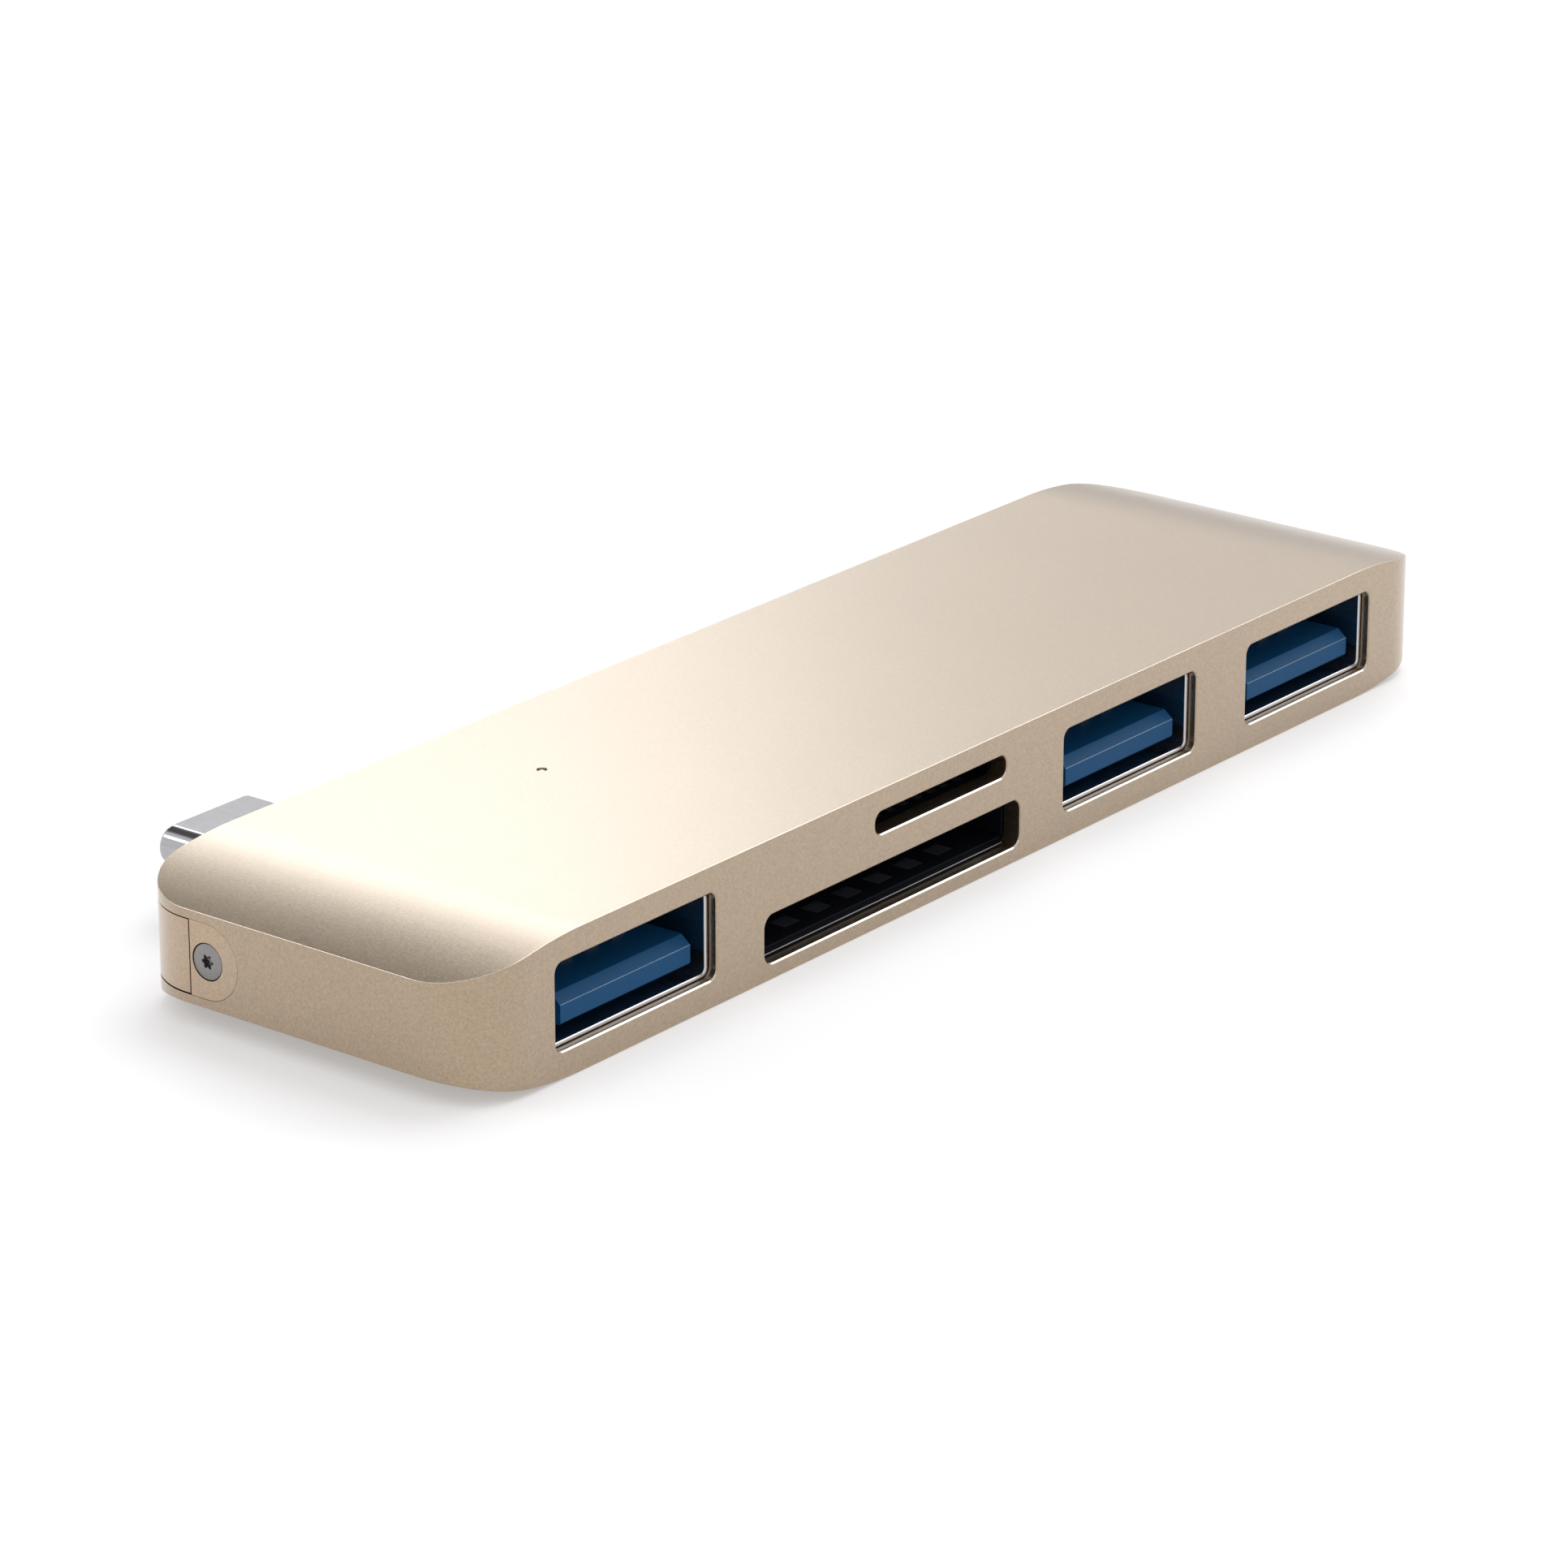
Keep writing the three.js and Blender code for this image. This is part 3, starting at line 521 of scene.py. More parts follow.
def housing():
    obj = make("housing_shell", body_solid())
    boolean(obj, body_solid(WALL, SKIN, rim=INNER_RIM))
    low, high = box_mm("base_cover")
    opening = rounded_rectangle(high.x - low.x + 2 * SEAM, high.y - low.y + 2 * SEAM,
                                COVER_CORNER)
    boolean(obj, along_z(opening, -PAST, SKIN + COVER_REBATE))
    for x, z in port_places():
        boolean(obj, mouth_cutter(PORT_SIZE, PORT_CORNER, x, z))
    x, z = slot_centre("sd_socket_base", SD_SIZE, SD_LOW)
    boolean(obj, mouth_cutter(SD_SIZE, SD_CORNER, x, z))
    x, z = slot_centre("microsd_socket_base", MICROSD_SIZE, MICROSD_LOW)
    boolean(obj, mouth_cutter(MICROSD_SIZE, MICROSD_CORNER, x, z))
    boolean(obj, along_x(corner_window(0, FACE_Y + PAST), -END_X - PAST, -END_X + WALL + OVERCUT))
    cut_carriage_room(obj)
    add_bosses(obj)
    add_nut_ribs(obj)
    light = centre_of("light_pipe")
    boolean(obj, cylinder_z(LIGHT_HOLE_RADIUS, light.x, light.y, MID_Z, HEIGHT + PAST))
    mark_cut_and_highlight_faces(obj.data)
    soften(obj)
    place(obj, HUB, "anodised", None, "housing")


def cut_carriage_room(obj):
    """The opening for the corner block, and the pocket in which the carriage's arm slides."""
    low, high = box_mm("plug_block")
    boolean(obj, block((-END_X - PAST, low.y, low.z - SEAM), (high.x + SEAM, FACE_Y + PAST, high.z + SEAM)))
    arm_low, arm_high = box_mm("carriage_arm")
    boolean(obj, block(
        (-END_X + ARM_POCKET_SKIN, arm_low.y - ARM_ROOM_FRONT, arm_low.z - ARM_ROOM),
        (-END_X + ARM_POCKET_DEPTH, ARM_POCKET_BACK_Y, arm_high.z + ARM_ROOM),
    ))


def add_bosses(obj):
    """Three round bosses under the top, each with a hole for a board screw."""
    board_top = box_mm("main_board")[1].z
    for spot in boss_places():
        boss = cylinder_z(BOSS_RADIUS, spot.x, spot.y, board_top + BOARD_GAP, HEIGHT - SKIN / 2,
                          COARSE_ROUND_STEPS)
        boolean(obj, boss, "UNION")
        boolean(obj, cylinder_z(BOSS_HOLE_RADIUS, spot.x, spot.y, MID_Z, HEIGHT - BOSS_HOLE_ROOF,
                                COARSE_ROUND_STEPS))


def add_nut_ribs(obj):
    """A rib above and one below the clamp nut, which hold it."""
    low, high = box_mm("clamp_nut")
    roof = dropped(low.x, SKIN / 2)
    for low_z, high_z in ((HEIGHT - roof, low.z - NUT_GAP), (high.z + NUT_GAP, roof)):
        rib = block((low.x - NUT_GAP, low.y - NUT_RIB_OVERLAP, low_z),
                    (high.x + NUT_RIB_STEP, high.y + NUT_RIB_OVERLAP, high_z))
        boolean(obj, rib, "UNION")


# The faces that get the lighter cut-edge colour, which is partly a painted highlight: mouth chamfers that
# face upwards, and the rim round the top.
SLANT_Y = (0.6, 0.8)  # a chamfer's normal points forwards by this much
SLANT_UP = 0.4
RIM_UP = (0.25, 0.93)  # and a rim's normal upwards by this much


def mark_cut_and_highlight_faces(mesh):
    """Puts the cut-edge material on the rim of the top and on the lower chamfers of the mouths. Only faces
    that face upwards get its lighter colour, so it is partly a brighter cut finish and partly a painted
    highlight.
    """
    mesh.materials.clear()
    mesh.materials.append(MATERIALS["housing"])
    mesh.materials.append(MATERIALS["cut"])
    for polygon in mesh.polygons:
        slanted = SLANT_Y[0] < abs(polygon.normal.y) < SLANT_Y[1] and polygon.normal.z > SLANT_UP
        near_front = polygon.center.y / MM < -FACE_Y + MOUTH_CHAMFER
        z = polygon.center.z / MM
        chamfer = slanted and near_front and z < HEIGHT - ROLL_DROP
        rim = RIM_UP[0] < polygon.normal.z < RIM_UP[1] and z > HEIGHT - ROLL_DROP - 2 * RIM
        polygon.material_index = 1 if chamfer or rim else 0


def base_cover():
    low, high = box_mm("base_cover")
    outline = rounded_rectangle(high.x - low.x, high.y - low.y, COVER_CORNER)
    obj = make("base_cover_plate", along_z(outline, low.z, high.z))
    soften(obj, bevel=0.06)
    place(obj, HUB, "anodised", MATERIALS["housing"], "base_cover")


# ---------------------------------------------------------------- plug carriage and clamp

ROUND_END_FLAT = 0.001  # keeps the sides of a round-ended outline from meeting in one point
BLOCK_SKIN = 0.9
BLOCK_REAR_WALL = 2.5
PLUG_HOLE_GAP = 0.1
PLUG_HOLE_FRONT_Y = 5
PLATE_GAP = 0.02
COUNTERBORE_RADIUS = 1.13
COUNTERBORE_DEPTH = 0.55
SHANK_HOLE_RADIUS = 0.68
SHANK_RADIUS = 0.6
HEAD_RADIUS = 1.07
HEAD_THICKNESS = 0.5
SCREW_STEPS = 96
LOBE_RADIUS = 0.36
LOBE_WAVE = 0.075
PLUG_SHEET = 0.25
PLUG_ARC_STEPS = 16
PLUG_CAVITY = (6.9, 1.0)
PLUG_CAVITY_DEPTH = 5.9


def plug_outline(grow=0.0):
    low, high = box_mm("plug_shell")
    width, height = high.x - low.x, high.z - low.z
    return rounded_rectangle(width, height, height / 2 - ROUND_END_FLAT, grow, PLUG_ARC_STEPS)


def plug_solid(grow, *stations):
    centre = centre_of("plug_shell")
    return moved(along_y(plug_outline(grow), *stations), centre.x, 0, centre.z)


def plug_block():
    low, high = box_mm("plug_block")
    obj = make("plug_corner_block", body_solid())
    boolean(obj, block((-END_X - PAST, low.y, low.z), (high.x, FACE_Y + PAST, high.z)), "INTERSECT")
    boolean(obj, block((-END_X + BLOCK_SKIN, 0, 0), (high.x + PAST, FACE_Y - BLOCK_REAR_WALL, HEIGHT)))
    boolean(obj, plug_solid(PLUG_HOLE_GAP, PLUG_HOLE_FRONT_Y, FACE_Y + 2 * PAST))
    soften(obj, bevel=0.04)
    place(obj, CARRIAGE, "anodised", MATERIALS["insert"], "plug_block")


def clamp_plate():
    high = box_mm("clamp_plate")[1]
    screw = centre_of("clamp_screw")
    obj = make("clamp_face_plate", body_solid())
    boolean(obj, along_x(corner_window(PLATE_GAP, high.y), -END_X - PAST, high.x), "INTERSECT")
    boolean(obj, cylinder_x(COUNTERBORE_RADIUS, screw.y, screw.z, -END_X - PAST,
                            -END_X + COUNTERBORE_DEPTH, FINE_ROUND_STEPS))
    boolean(obj, cylinder_x(SHANK_HOLE_RADIUS, screw.y, screw.z, -END_X - PAST, -END_X + 2 * PAST))
    soften(obj, bevel=0.015)
    place(obj, HUB, "anodised", MATERIALS["insert"], "clamp_plate")


def six_lobe(scale):
    """The outline of the screw's socket in YZ."""
    points = []
    for i in range(SCREW_STEPS):
        angle = 2 * math.pi * i / SCREW_STEPS
        radius = scale * (LOBE_RADIUS + LOBE_WAVE * math.cos(6 * angle))
        points.append((radius * math.cos(angle), radius * math.sin(angle)))
    return points


def clamp_screw():
    low, high = box_mm("clamp_screw")
    centre = centre_of("clamp_screw")
    face = low.x
    under = face + HEAD_THICKNESS
    rings = []
    for radius, x in ((SHANK_RADIUS, high.x), (SHANK_RADIUS, under), (HEAD_RADIUS, under),
                      (HEAD_RADIUS, face + 0.06), (HEAD_RADIUS - 0.01, face + 0.02),
                      (HEAD_RADIUS - 0.04, face)):
        rings.append([(x, py, pz) for py, pz in circle(radius, SCREW_STEPS)])
    for scale, x in ((1.06, face), (1.0, face + 0.05), (0.97, face + 0.42), (0.4, under)):
        rings.append([(x, py, pz) for py, pz in six_lobe(scale)])
    solid = moved(loft(rings), 0, centre.y, centre.z)
    obj = soften(make("six_lobe_clamp_screw", solid), sharp_deg=40)
    place(obj, SCREW, "dark_steel", MATERIALS["screw"], "clamp_screw")


def plug_shell():
    """A drawn steel shell with a rounded rim at its mouth."""
    low, high = box_mm("plug_shell")
    loops = []
    for y, grow in (
        (low.y, 0), (high.y - 0.22, 0), (high.y - 0.1, -0.03), (high.y - 0.02, -0.1),
        (high.y, -0.16), (high.y - 0.03, -0.22), (high.y - 0.1, -PLUG_SHEET),
        (low.y, -PLUG_SHEET),
    ):
        loops.append([(x, y, z) for x, z in plug_outline(grow)])
    loops.append(loops[0])
    centre = centre_of("plug_shell")
    solid = moved(loft(loops, capped=False), centre.x, 0, centre.z)
    obj = weld(make("usb_c_plug_shell", solid))
    soften(obj, sharp_deg=50)
    place(obj, CARRIAGE, "nickel_steel", MATERIALS["plug"], "plug_shell")


# ---------------------------------------------------------------- USB-A receptacles

SHIELD_CORNER = 0.5
TONGUE_LOW = 2.74
TONGUE_TOP = 4.45
TONGUE_LIP = 3.92  # height of the front edge's top, where the slope up to the top starts
TONGUE_SLOPE = 0.62
TONGUE_CHAMFER = 0.12
TONGUE_EDGE = 0.022  # width of the front edge's glossy facet, whose lighter blue is a painted highlight
TONGUE_HALF_WIDTH = 5.65
TONGUE_ROOT_Y = -1.6
INSULATOR_FRONT_Y = -2.4
INSULATOR_CORNER = 0.25


def usb_a_shield(number):
    node = f"usb_a_shield_{number}"
    low, high = box_mm(node)
    centre = (low + high) / 2
    width, height = high.x - low.x, high.z - low.z
    loops = []
    for y, grow in (
        (high.y, 0), (low.y + 0.03, 0), (low.y + 0.01, -0.01), (low.y, -0.03),
        (low.y, -SHEET + 0.12), (low.y + 0.03, -SHEET + 0.04), (low.y + 0.12, -SHEET),
        (high.y, -SHEET),
    ):
        outline = rounded_rectangle(width, height, SHIELD_CORNER, grow)
        loops.append([(centre.x + x, y, centre.z + z) for x, z in outline])
    loops.append(loops[0])
    obj = weld(make(f"usb_a_{number}_steel_shield", loft(loops, capped=False)))
    soften(obj, sharp_deg=50)
    place(obj, HUB, "nickel_steel", MATERIALS["nickel"], node)


def usb_a_insulator(number):
    node = f"usb_a_insulator_{number}"
    low, high = box_mm(node)
    centre = (low + high) / 2
    profile = [
        (low.y, TONGUE_LOW + TONGUE_CHAMFER), (low.y + TONGUE_CHAMFER, TONGUE_LOW),
        (TONGUE_ROOT_Y, TONGUE_LOW), (TONGUE_ROOT_Y, TONGUE_TOP), (low.y + TONGUE_SLOPE, TONGUE_TOP),
        (low.y + TONGUE_EDGE, TONGUE_LIP + TONGUE_EDGE), (low.y, TONGUE_LIP - TONGUE_EDGE / 2),
    ]
    tongue = moved(along_x(profile, -TONGUE_HALF_WIDTH, TONGUE_HALF_WIDTH), centre.x)
    obj = make(f"usb_a_{number}_blue_tongue", tongue)
    outline = rounded_rectangle(high.x - low.x, high.z - low.z, INSULATOR_CORNER)
    back = [(centre.x + x, centre.z + z) for x, z in outline]
    boolean(obj, along_y(back, INSULATOR_FRONT_Y, high.y), "UNION")
    # The lip's upward-facing facet gets a lighter, glossier blue: the lighter colour is a painted
    # highlight.
    paint(obj, MATERIALS["blue"], MATERIALS["blue_lip_highlight"])
    for polygon in obj.data.polygons:
        on_lip = polygon.center.y / MM < low.y + TONGUE_EDGE and polygon.normal.z > 0.3
        polygon.material_index = 1 if on_lip else 0
    soften(obj, sharp_deg=25)
    place(obj, HUB, "blue_plastic", None, node)


def usb_a_springs(number):
    """Two retention leaves that bow inwards from the shield's top."""
    low, high = box_mm(f"usb_a_shield_{number}")
    centre_x = (low.x + high.x) / 2
    front = low.y + 1.6
    length = 5.4
    half_width = 0.85
    sheet = 0.16
    bow = 0.42
    apart = 3.2  # from the middle of the port to the middle of a leaf
    steps = 16
    leaves = []
    roof = high.z - SHEET - 0.03
    for x in (centre_x - apart, centre_x + apart):
        upper, lower = [], []
        for i in range(steps + 1):
            t = i / steps
            sag = bow * math.sin(math.pi * t) ** 1.5
            upper.append((front + length * t, roof - sag))
            lower.append((front + length * t, roof - sag - sheet))
        leaves.append(along_x(upper + lower[::-1], x - half_width, x + half_width))
    obj = soften(make(f"usb_a_{number}_retention_springs", merged(*leaves)), bevel=0.03)
    place(obj, HUB, "nickel_steel", MATERIALS["nickel"])


# ---------------------------------------------------------------- card sockets

SD_X = (-22.44, 2.15)
SD_POCKETS = {"first": -16.94, "pitch": 2.93, "count": 6, "y": -10.15, "length": 1.6, "width": 1.24,
              "depth": 0.22, "pad_drop": 0.14}
MICROSD_X = (-12.12, 0.74)
MICROSD_POCKETS = {"first": -10.4, "pitch": 1.3, "count": 8, "y": -10.7, "length": 0.8, "width": 0.7,
                   "depth": 0.18, "pad_drop": 0.16}
RAIL = 0.15  # how far a tray's side rail stands into the slot
TRAY_BACK_WALL = 1.2
LEAD_IN = 0.06  # height of the SD tray's front edge, where its ramp starts
RAMP_END = 0.2
RAMP_MARGIN = 0.8
PAD_GAP = 0.04
PAD_CORNER = 0.12
PAD_PROFILE = ((1, 0), (1, 0.09), (0.94, 0.12))  # size and height of each level of a pad
SD_FLOOR = 0.3  # thickness of the SD tray's floor
MICROSD_FLOOR = 0.45
LIP_RADIUS = 0.035
LIP_PITCH = 0.24
LIP_BEAD = ((0.0, 0.72), (0.3, 1.0), (0.7, 1.0))  # place along one rib, and size there
LIP_STEPS = 12


def pocket_places(pockets):
    return [(pockets["first"] + i * pockets["pitch"], pockets["y"]) for i in range(pockets["count"])]


def card_tray(name, node, slot_x, floor_high, nose, pockets, bevel):
    """A moulded tray: a floor between two rails, a back wall, and a row of pockets in the floor."""
    low, high = box_mm(node)
    inside = -FACE_Y + WALL + OVERCUT
    obj = make(name, block((low.x, inside, low.z), high))
    left, right = slot_x[0] + RAIL, slot_x[1] - RAIL
    boolean(obj, block((left, inside - PAST, floor_high),
                       (right, high.y - TRAY_BACK_WALL, high.z + PAST)))
    if nose:
        ramp = [(low.y, low.z), (low.y, low.z + LEAD_IN), (inside + RAMP_END, floor_high),
                (inside + RAMP_END, low.z)]
        boolean(obj, along_x(ramp, slot_x[0] + RAMP_MARGIN, slot_x[1] - RAMP_MARGIN), "UNION")
    half_x, half_y = pockets["length"] / 2, pockets["width"] / 2
    for x, y in pocket_places(pockets):
        boolean(obj, block((x - half_x, y - half_y, floor_high - pockets["depth"]),
                           (x + half_x, y + half_y, floor_high + PAST)))
    soften(obj, bevel=bevel)
    place(obj, HUB, "black_plastic", MATERIALS["black"], node)


def pocket_pads(name, pockets, floor_high):
    """The ends of the contact springs, seen as a slightly lighter pad in each pocket."""
    length = 2 * (pockets["length"] / 2 - PAD_GAP)
    width = 2 * (pockets["width"] / 2 - PAD_GAP)
    outline = rounded_rectangle(length, width, PAD_CORNER, steps=3)
    low = floor_high - pockets["pad_drop"]
    pads = []
    for x, y in pocket_places(pockets):
        loops = [[(x + px * size, y + py * size, low + up) for px, py in outline]
                 for size, up in PAD_PROFILE]
        pads.append(loft(loops))
    obj = soften(make(name, merged(*pads)), sharp_deg=40)
    place(obj, HUB, "black_plastic", MATERIALS["pad"])


def ribbed_lip(name, x_range, y, z):
    """The fine ribbed wire spring along a slot's lower lip."""
    count = round((x_range[1] - x_range[0]) / LIP_PITCH)
    loops = []
    for i in range(count + 1):
        x = x_range[0] + i * LIP_PITCH
        for offset, size in LIP_BEAD:
            ring = arc((y, z), LIP_RADIUS * size, 0, 360, LIP_STEPS)[:-1]
            loops.append([(x + offset * LIP_PITCH, py, pz) for py, pz in ring])
    obj = soften(make(name, loft(loops)), sharp_deg=60)
    place(obj, HUB, "dark_steel", MATERIALS["dark_steel"])


def card_sockets():
    sd_low = box_mm("sd_socket_base")[0]
    sd_floor = sd_low.z + SD_FLOOR
    card_tray("sd_card_tray", "sd_socket_base", SD_X, sd_floor, True, SD_POCKETS, 0.04)
    pocket_pads("sd_contact_ends", SD_POCKETS, sd_floor)
    ribbed_lip("sd_lip_spring", (SD_X[0] + 0.9, SD_X[1] - 1.0), sd_low.y + 0.06,
               sd_low.z + LEAD_IN + 0.04)
    micro_floor = box_mm("microsd_socket_base")[0].z + MICROSD_FLOOR
    card_tray("microsd_card_tray", "microsd_socket_base", MICROSD_X, micro_floor, False,
              MICROSD_POCKETS, 0.03)
    pocket_pads("microsd_contact_ends", MICROSD_POCKETS, micro_floor)
    card_detent()


def card_detent():
    """The small steel catch on the SD tray's right rail that clicks into a card's side notch."""
    x, y, z = SD_X[1] - RAIL, -9.6, 2.9
    profile = [(x, y - 0.7), (x - 0.34, y - 0.18), (x - 0.34, y + 0.18), (x, y + 0.7)]
    obj = soften(make("sd_card_detent", along_z(profile, z - 0.35, z + 0.35)), bevel=0.04)
    place(obj, HUB, "dark_steel", MATERIALS["dark_steel"])


# ---------------------------------------------------------------- electronics

LEAD_REACH = 0.55  # from a chip's body to the ends of its leads
LEAD_MARGIN = 0.4  # from a corner of the body to the first lead
LEAD_WIDTH = 0.18
DIMPLE_RADIUS = 0.35
DIMPLE_INSET = 0.6
CAP_LENGTH = 0.4
CUP_RADIUS = 1.2
CORE_RADIUS = 0.75
WIRE_RADIUS = 0.1
COIL_RADIUS = 1.0
COIL_TURNS = 4
COIL_STEPS = 48
FLEX_THICKNESS = 0.15
FLEX_STEPS = 36
FLEX_SLACK = 0.22


def leaded_chip(name, node, per_side):
    """A moulded package with a bevelled edge and gull-wing leads on its four sides."""
    low, high = box_mm(node)
    centre = (low + high) / 2
    half = (high.x - low.x) / 2
    body_half = half - LEAD_REACH
    outline = [(-1, -1), (1, -1), (1, 1), (-1, 1)]
    loops = []
    for size, z in ((body_half - 0.08, low.z + 0.06), (body_half, low.z + 0.45),
                    (body_half, low.z + 0.5), (body_half - 0.08, high.z)):
        loops.append([(centre.x + size * sx, centre.y + size * sy, z) for sx, sy in outline])
    obj = make(name, loft(loops))
    boolean(obj, cylinder_z(DIMPLE_RADIUS, centre.x - body_half + DIMPLE_INSET,
                            centre.y + body_half - DIMPLE_INSET, high.z - 0.1, high.z + PAST,
                            COARSE_ROUND_STEPS))
    soften(obj, bevel=0.03)
    place(obj, HUB, "black_plastic", MATERIALS["black"], node)
    pitch = 2 * (body_half - LEAD_MARGIN) / (per_side - 1)
    lead = [(body_half - 0.05, 0.50), (body_half + 0.16, 0.50), (body_half + 0.32, 0.12),
            (half, 0.12), (half, 0.02), (body_half + 0.26, 0.02), (body_half + 0.1, 0.40),
            (body_half - 0.05, 0.40)]
    leads = []
    for side in range(4):
        turn = math.radians(90 * side)
        for i in range(per_side):
            along = -(body_half - LEAD_MARGIN) + i * pitch
            points, faces = along_y(lead, along - LEAD_WIDTH / 2, along + LEAD_WIDTH / 2)
            turned = []
            for x, y, z in points:
                turned.append((centre.x + x * math.cos(turn) - y * math.sin(turn),
                               centre.y + x * math.sin(turn) + y * math.cos(turn), low.z + z))
            leads.append((turned, faces))
    legs = soften(make(name + "_leads", merged(*leads)), sharp_deg=30)
    place(legs, HUB, "nickel_steel", MATERIALS["nickel"])


def capacitor(number):
    """A ceramic chip with a solderable metal cap on each end."""
    node = f"capacitor_{number}"
    low, high = box_mm(node)
    centre = (low + high) / 2
    width, height = high.y - low.y, high.z - low.z
    section = [(centre.y + y, centre.z + z)
               for y, z in rounded_rectangle(width - 0.06, height - 0.06, 0.1, steps=3)]
    obj = soften(make(f"ceramic_capacitor_{number}", along_x(section, low.x + CAP_LENGTH,
                                                                    high.x - CAP_LENGTH)))
    place(obj, HUB, "ceramic", MATERIALS["ceramic"], node)
    outline = [(centre.y + y, centre.z + z)
               for y, z in rounded_rectangle(width, height, 0.12, steps=3)]
    caps = [along_x(outline, low.x, low.x + CAP_LENGTH),
            along_x(outline, high.x - CAP_LENGTH, high.x)]
    ends = soften(make(f"capacitor_{number}_end_caps", merged(*caps)), bevel=0.03)
    place(ends, HUB, "nickel_steel", MATERIALS["nickel"])


def inductor():
    """A ferrite cup with a round recess and its winding inside it."""
    low, high = box_mm("power_inductor")
    centre = (low + high) / 2
    outline = [(centre.x + x, centre.y + y)
               for x, y in rounded_rectangle(high.x - low.x, high.y - low.y, 0.5, steps=5)]
    obj = make("shielded_inductor", along_z(outline, low.z, high.z))
    boolean(obj, cylinder_z(CUP_RADIUS, centre.x, centre.y, low.z + 0.4, high.z + PAST))
    boolean(obj, cylinder_z(CORE_RADIUS, centre.x, centre.y, low.z + 0.3, high.z - 0.12), "UNION")
    soften(obj, bevel=0.05)
    place(obj, HUB, "ferrite_grey", MATERIALS["ferrite"], "power_inductor")
    rings = []
    for i in range(COIL_TURNS):
        z = low.z + 0.52 + i * 2 * WIRE_RADIUS
        ring = arc((COIL_RADIUS, z), WIRE_RADIUS * 0.95, 0, 360, 10)[:-1]
        loops = []
        for k in range(COIL_STEPS + 1):
            a = 2 * math.pi * k / COIL_STEPS
            loops.append([(centre.x + r * math.cos(a), centre.y + r * math.sin(a), h) for r, h in ring])
        rings.append(loft(loops, capped=False))
    winding = weld(make("inductor_winding", merged(*rings)))
    place(soften(winding, sharp_deg=80), HUB, "gold_contacts", MATERIALS["copper"])


def flex_strip():
    """The flexible printed circuit between the plug's board and the hub's, with a slack bend."""
    low, high = box_mm("flex_cable")
    start, end = low.x, high.x
    highest = high.z - FLEX_THICKNESS
    loops = []
    for i in range(FLEX_STEPS + 1):
        t = i / FLEX_STEPS
        x = start + (end - start) * t
        ease = t * t * (3 - 2 * t)
        slack = FLEX_SLACK * math.sin(math.pi * t) ** 2 * t
        z = min(low.z + (highest - low.z) * (ease + slack), highest)
        top = z + FLEX_THICKNESS
        loops.append([(x, low.y, z), (x, high.y, z), (x, high.y, top), (x, low.y, top)])
    obj = soften(make("flex_circuit", loft(loops)), sharp_deg=40)
    paint(obj, MATERIALS["flex"])
    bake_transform(obj)
    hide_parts("flex_cable")


def weld(obj):
    """Joins the points of a closed skin where its last loop meets its first."""
    bm = bmesh.new()
    bm.from_mesh(obj.data)
    bmesh.ops.remove_doubles(bm, verts=bm.verts, dist=1e-7)
    bmesh.ops.recalc_face_normals(bm, faces=bm.faces)
    bm.to_mesh(obj.data)
    bm.free()
    return obj


def light_pipe():
    """A clear stem with a domed tip, standing in the hole in the top."""
    low, high = box_mm("light_pipe")
    centre = (low + high) / 2
    collar = (high.x - low.x) / 2
    neck = HEIGHT - SKIN - 0.1
    stem, tip = 0.22, HEIGHT - 0.06
    profile = [(collar * 0.8, low.z), (collar, low.z + 0.14), (collar, neck - 0.14),
               (collar * 0.8, neck), (stem, neck), (stem, tip - 0.12), (stem * 0.85, tip - 0.04),
               (stem * 0.5, tip)]
    loops = [[(centre.x + x, centre.y + y, z) for x, y in circle(r, 40)]
             for r, z in profile]
    obj = soften(make("led_light_pipe", loft(loops)), sharp_deg=50)
    place(obj, HUB, "clear_plastic", MATERIALS["clear"], "light_pipe")


def plug_core():
    """The black moulding inside the plug, with a flared mouth round the contact cavity."""
    low, high = box_mm("plug_insulator")
    centre = (low + high) / 2
    width, height = high.x - low.x, high.z - low.z
    loops = []
    for y, grow in ((low.y, 0), (high.y - 0.08, 0), (high.y, -0.08)):
        outline = rounded_rectangle(width, height, height / 2 - 0.02, grow, 12)
        loops.append([(centre.x + x, y, centre.z + z) for x, z in outline])
    obj = make("plug_moulding", loft(loops))
    cavity = []
    for y, grow in ((high.y + 0.5, 0.3), (high.y + 0.01, 0.22), (high.y - 0.25, 0.0),
                    (high.y - PLUG_CAVITY_DEPTH, 0.0)):
        outline = rounded_rectangle(*PLUG_CAVITY, 0.12, grow, 4)
        cavity.append([(centre.x + x, y, centre.z + z) for x, z in outline])
    boolean(obj, loft(cavity))
    soften(obj, sharp_deg=35)
    place(obj, CARRIAGE, "black_plastic", MATERIALS["black"], "plug_insulator")


# ---------------------------------------------------------------- what keeps its CAD shape

CAD_LOOKS = {
    "nickel": ["sd_socket_cover", "microsd_socket_cover", "clock_crystal",
               "board_screw_1", "board_screw_2", "board_screw_3"],
    "dark_steel": ["clamp_nut", "carriage_arm", "plug_latch"],
    "black": ["flex_connector", "plug_overmould"],
    "gold": ["usb_a_contacts_1", "usb_a_contacts_2", "usb_a_contacts_3", "sd_contacts",
             "microsd_contacts", "plug_contacts_upper", "plug_contacts_lower"],
    "board": ["main_board", "plug_board"],
    "silicone": ["thermal_pad"],
    "clear": ["status_led"],
}
EDGE_BEVEL = {"nickel": 0.05, "dark_steel": 0.05, "black": 0.08, "gold": 0.015, "board": 0.03,
              "silicone": 0.12, "clear": 0.05}


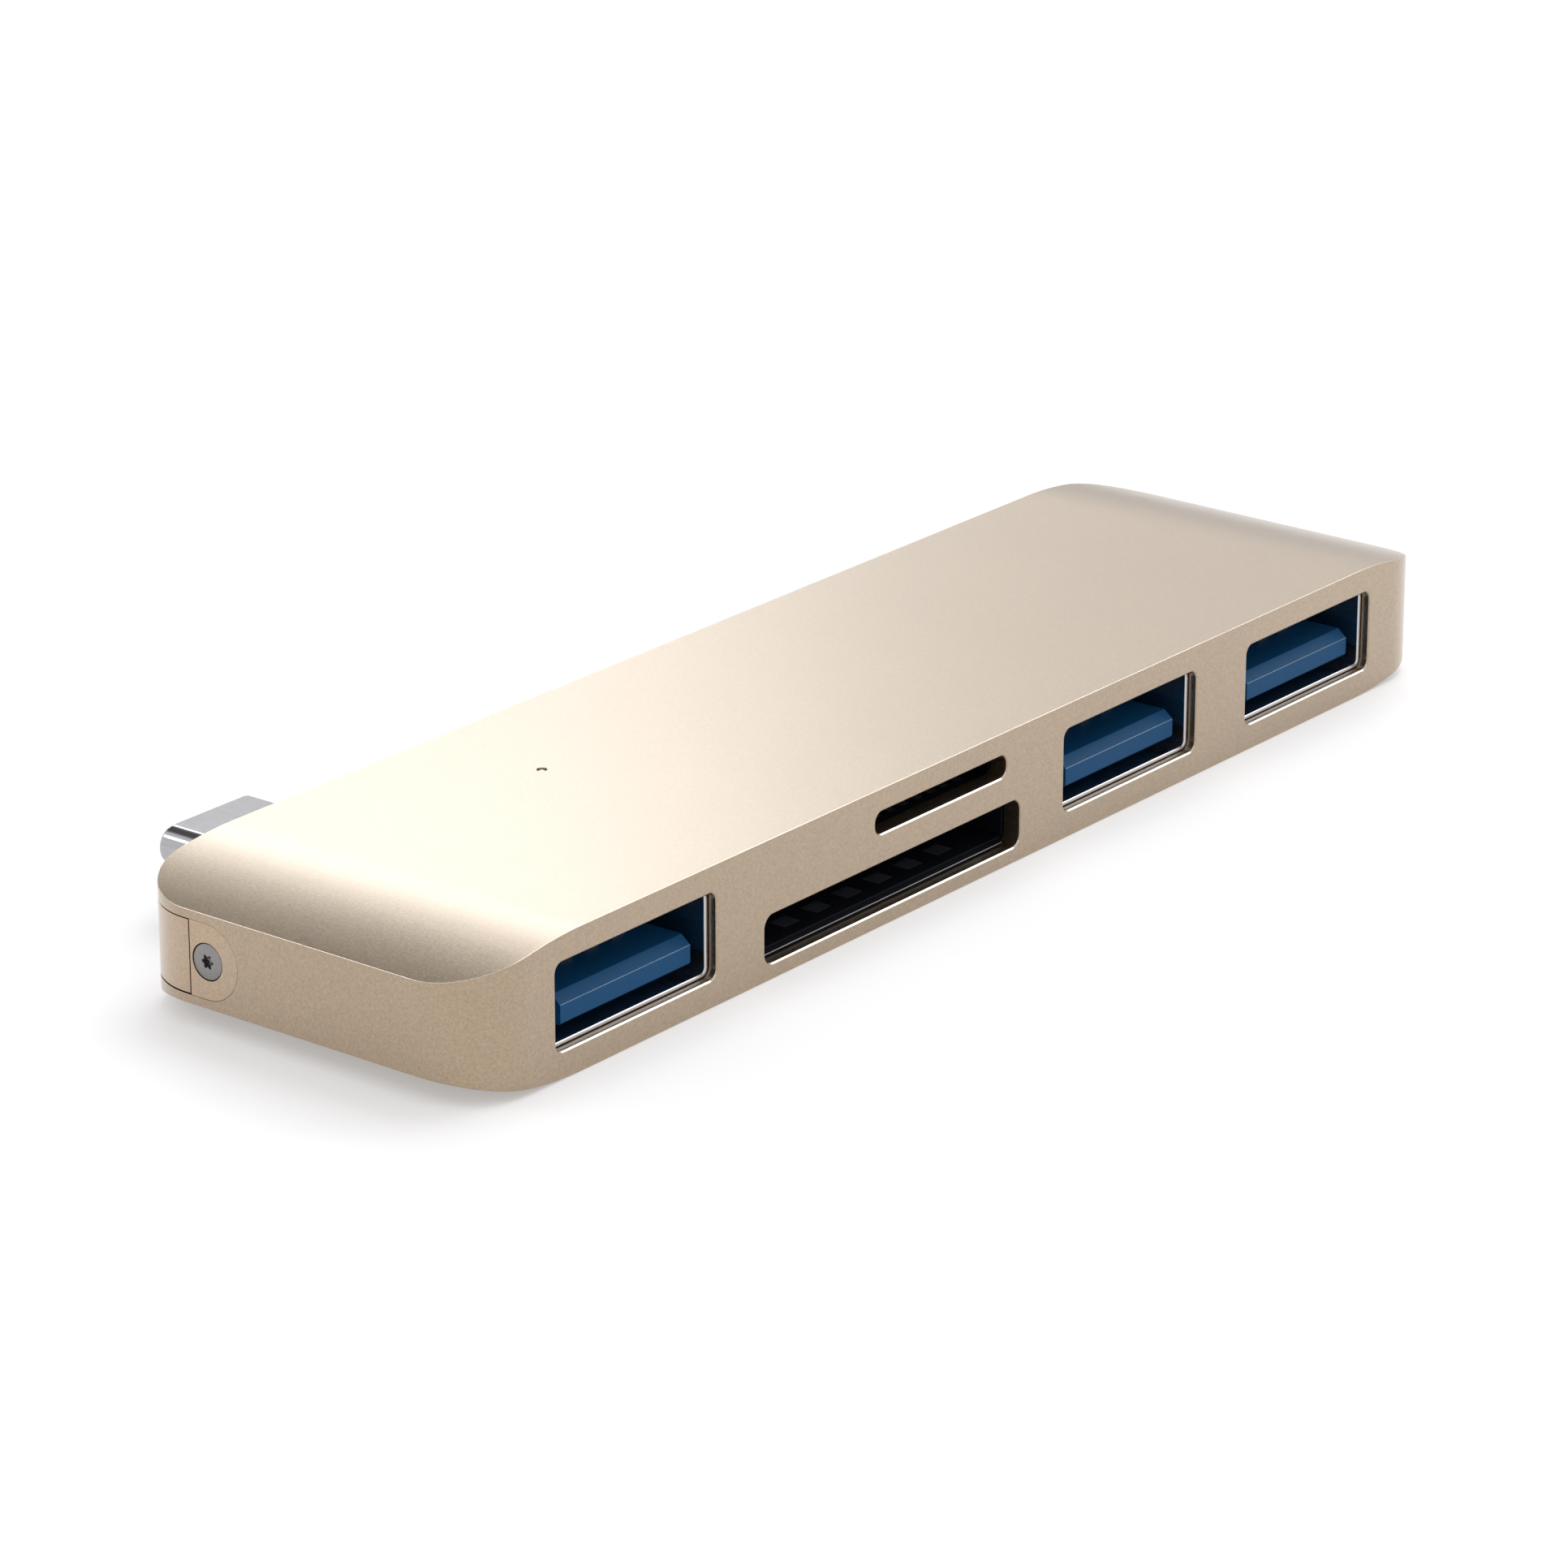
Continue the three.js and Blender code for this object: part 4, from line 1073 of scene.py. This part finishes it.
def dress_cad_nodes():
    """Materials for the nodes whose CAD shape is right, and a fine rounded edge on each."""
    for look, names in CAD_LOOKS.items():
        for name in names:
            paint(NODES[name], MATERIALS[look])
            edge = NODES[name].modifiers.new("edge", "BEVEL")
            edge.width = EDGE_BEVEL[look] * MM
            edge.segments = SMOOTH_EDGE_STEPS
            edge.limit_method = "ANGLE"
            edge.angle_limit = math.radians(40)


# ---------------------------------------------------------------- stage

CAMERA_TARGET = Vector((-5.46, -1.0, 4.3)) * MM
CAMERA_DISTANCE = 0.3655
CAMERA_AZIMUTH = -51.79
CAMERA_ELEVATION = 20.53
LENS_MM = 140.0
FLOOR_HALF = 9e3
FLOOR_DROP = 0.02  # keeps the floor clear of the underside


def direction(azimuth, elevation):
    """From the object towards a place at that azimuth, 0 in front of the ports, and elevation."""
    a, e = math.radians(azimuth), math.radians(elevation)
    return Vector((math.sin(a) * math.cos(e), -math.cos(a) * math.cos(e), math.sin(e)))


def camera():
    data = bpy.data.cameras.new("camera")
    data.lens = LENS_MM
    data.sensor_width = 36.0
    data.clip_start = 0.01
    obj = bpy.data.objects.new("camera", data)
    away = direction(CAMERA_AZIMUTH, CAMERA_ELEVATION)
    obj.location = CAMERA_TARGET + away * CAMERA_DISTANCE
    obj.rotation_euler = (-away).to_track_quat("-Z", "Y").to_euler()
    SCENE.collection.objects.link(obj)
    SCENE.camera = obj


def softbox(name, azimuth, elevation, distance, size, watts, tint=(1, 1, 1)):
    data = bpy.data.lights.new(name, "AREA")
    data.shape = "RECTANGLE"
    data.size, data.size_y = size
    data.energy = watts
    data.color = tint
    obj = bpy.data.objects.new(name, data)
    away = direction(azimuth, elevation)
    obj.location = away * distance
    obj.rotation_euler = (-away).to_track_quat("-Z", "Y").to_euler()
    SCENE.collection.objects.link(obj)


def floor():
    corners = [(sx * FLOOR_HALF, sy * FLOOR_HALF, 0) for sx, sy in ((-1, -1), (1, -1), (1, 1), (-1, 1))]
    obj = make("floor", (corners, [(0, 1, 2, 3)]))
    obj.location.z = -FLOOR_DROP * MM
    white = surface("floor_white", ((0.54, 0.54, 0.55), (0.56, 0.56, 0.57)), 40.0, (0.7, 0.8))
    shader = white.node_tree.nodes["Principled BSDF"]
    shader.inputs["Emission Color"].default_value = (1.0, 0.99, 0.98, 1)
    shader.inputs["Emission Strength"].default_value = 0.32
    paint(obj, white)


def dark_patch(world, azimuth, elevation, level, inner, outer):
    """A soft-edged dark flag in the surroundings, as seen in that direction. inner and outer are
    the angles in degrees at which it starts and stops fading out."""
    nodes, links = world.node_tree.nodes, world.node_tree.links
    strength = nodes["Background"].inputs["Strength"]
    view = nodes.new("ShaderNodeTexCoord")
    facing = nodes.new("ShaderNodeVectorMath")
    facing.operation = "DOT_PRODUCT"
    facing.inputs[1].default_value = direction(azimuth, elevation)
    fade = nodes.new("ShaderNodeMapRange")
    fade.interpolation_type = "SMOOTHSTEP"
    fade.inputs["From Min"].default_value = math.cos(math.radians(outer))
    fade.inputs["From Max"].default_value = math.cos(math.radians(inner))
    fade.inputs["To Min"].default_value = 1.0
    fade.inputs["To Max"].default_value = level
    dimmed = nodes.new("ShaderNodeMath")
    dimmed.operation = "MULTIPLY"
    if strength.is_linked:
        links.new(strength.links[0].from_socket, dimmed.inputs[0])
    else:
        dimmed.inputs[0].default_value = strength.default_value
    links.new(view.outputs["Generated"], facing.inputs[0])
    links.new(facing.outputs["Value"], fade.inputs["Value"])
    links.new(fade.outputs["Result"], dimmed.inputs[1])
    links.new(dimmed.outputs["Value"], strength)


def lighting():
    world = bpy.data.worlds.new("world")
    SCENE.world = world
    world.use_nodes = True
    background = world.node_tree.nodes["Background"]
    background.inputs["Color"].default_value = (1.0, 1.0, 1.0, 1)
    background.inputs["Strength"].default_value = 1.04
    softbox("overhead", 100, 60, 1.0, (0.6, 0.6), 4.0)
    softbox("back_box", 145, 27.0, 0.80, (0.42, 0.08), 0.77, tint=(0.90, 0.955, 1.0))
    softbox("side_box", 65, 36, 0.80, (0.30, 0.22), 0.9)
    softbox("left_box", -142, 36, 0.80, (0.16, 0.10), 0.35)
    dark_patch(world, 156, 52, 0.145, 11.5, 27.1)
    dark_patch(world, 124, 0, 0.2, 4, 11)
    SCENE.view_settings.view_transform = "Standard"


housing()
base_cover()
plug_block()
clamp_plate()
clamp_screw()
plug_shell()
for number in (1, 2, 3):
    usb_a_shield(number)
    usb_a_insulator(number)
    usb_a_springs(number)
card_sockets()
leaded_chip("hub_controller_package", "hub_controller_chip", 12)
leaded_chip("card_reader_package", "card_reader_chip", 9)
for number in (1, 2, 3, 4):
    capacitor(number)
inductor()
flex_strip()
light_pipe()
plug_core()
dress_cad_nodes()
camera()
floor()
lighting()
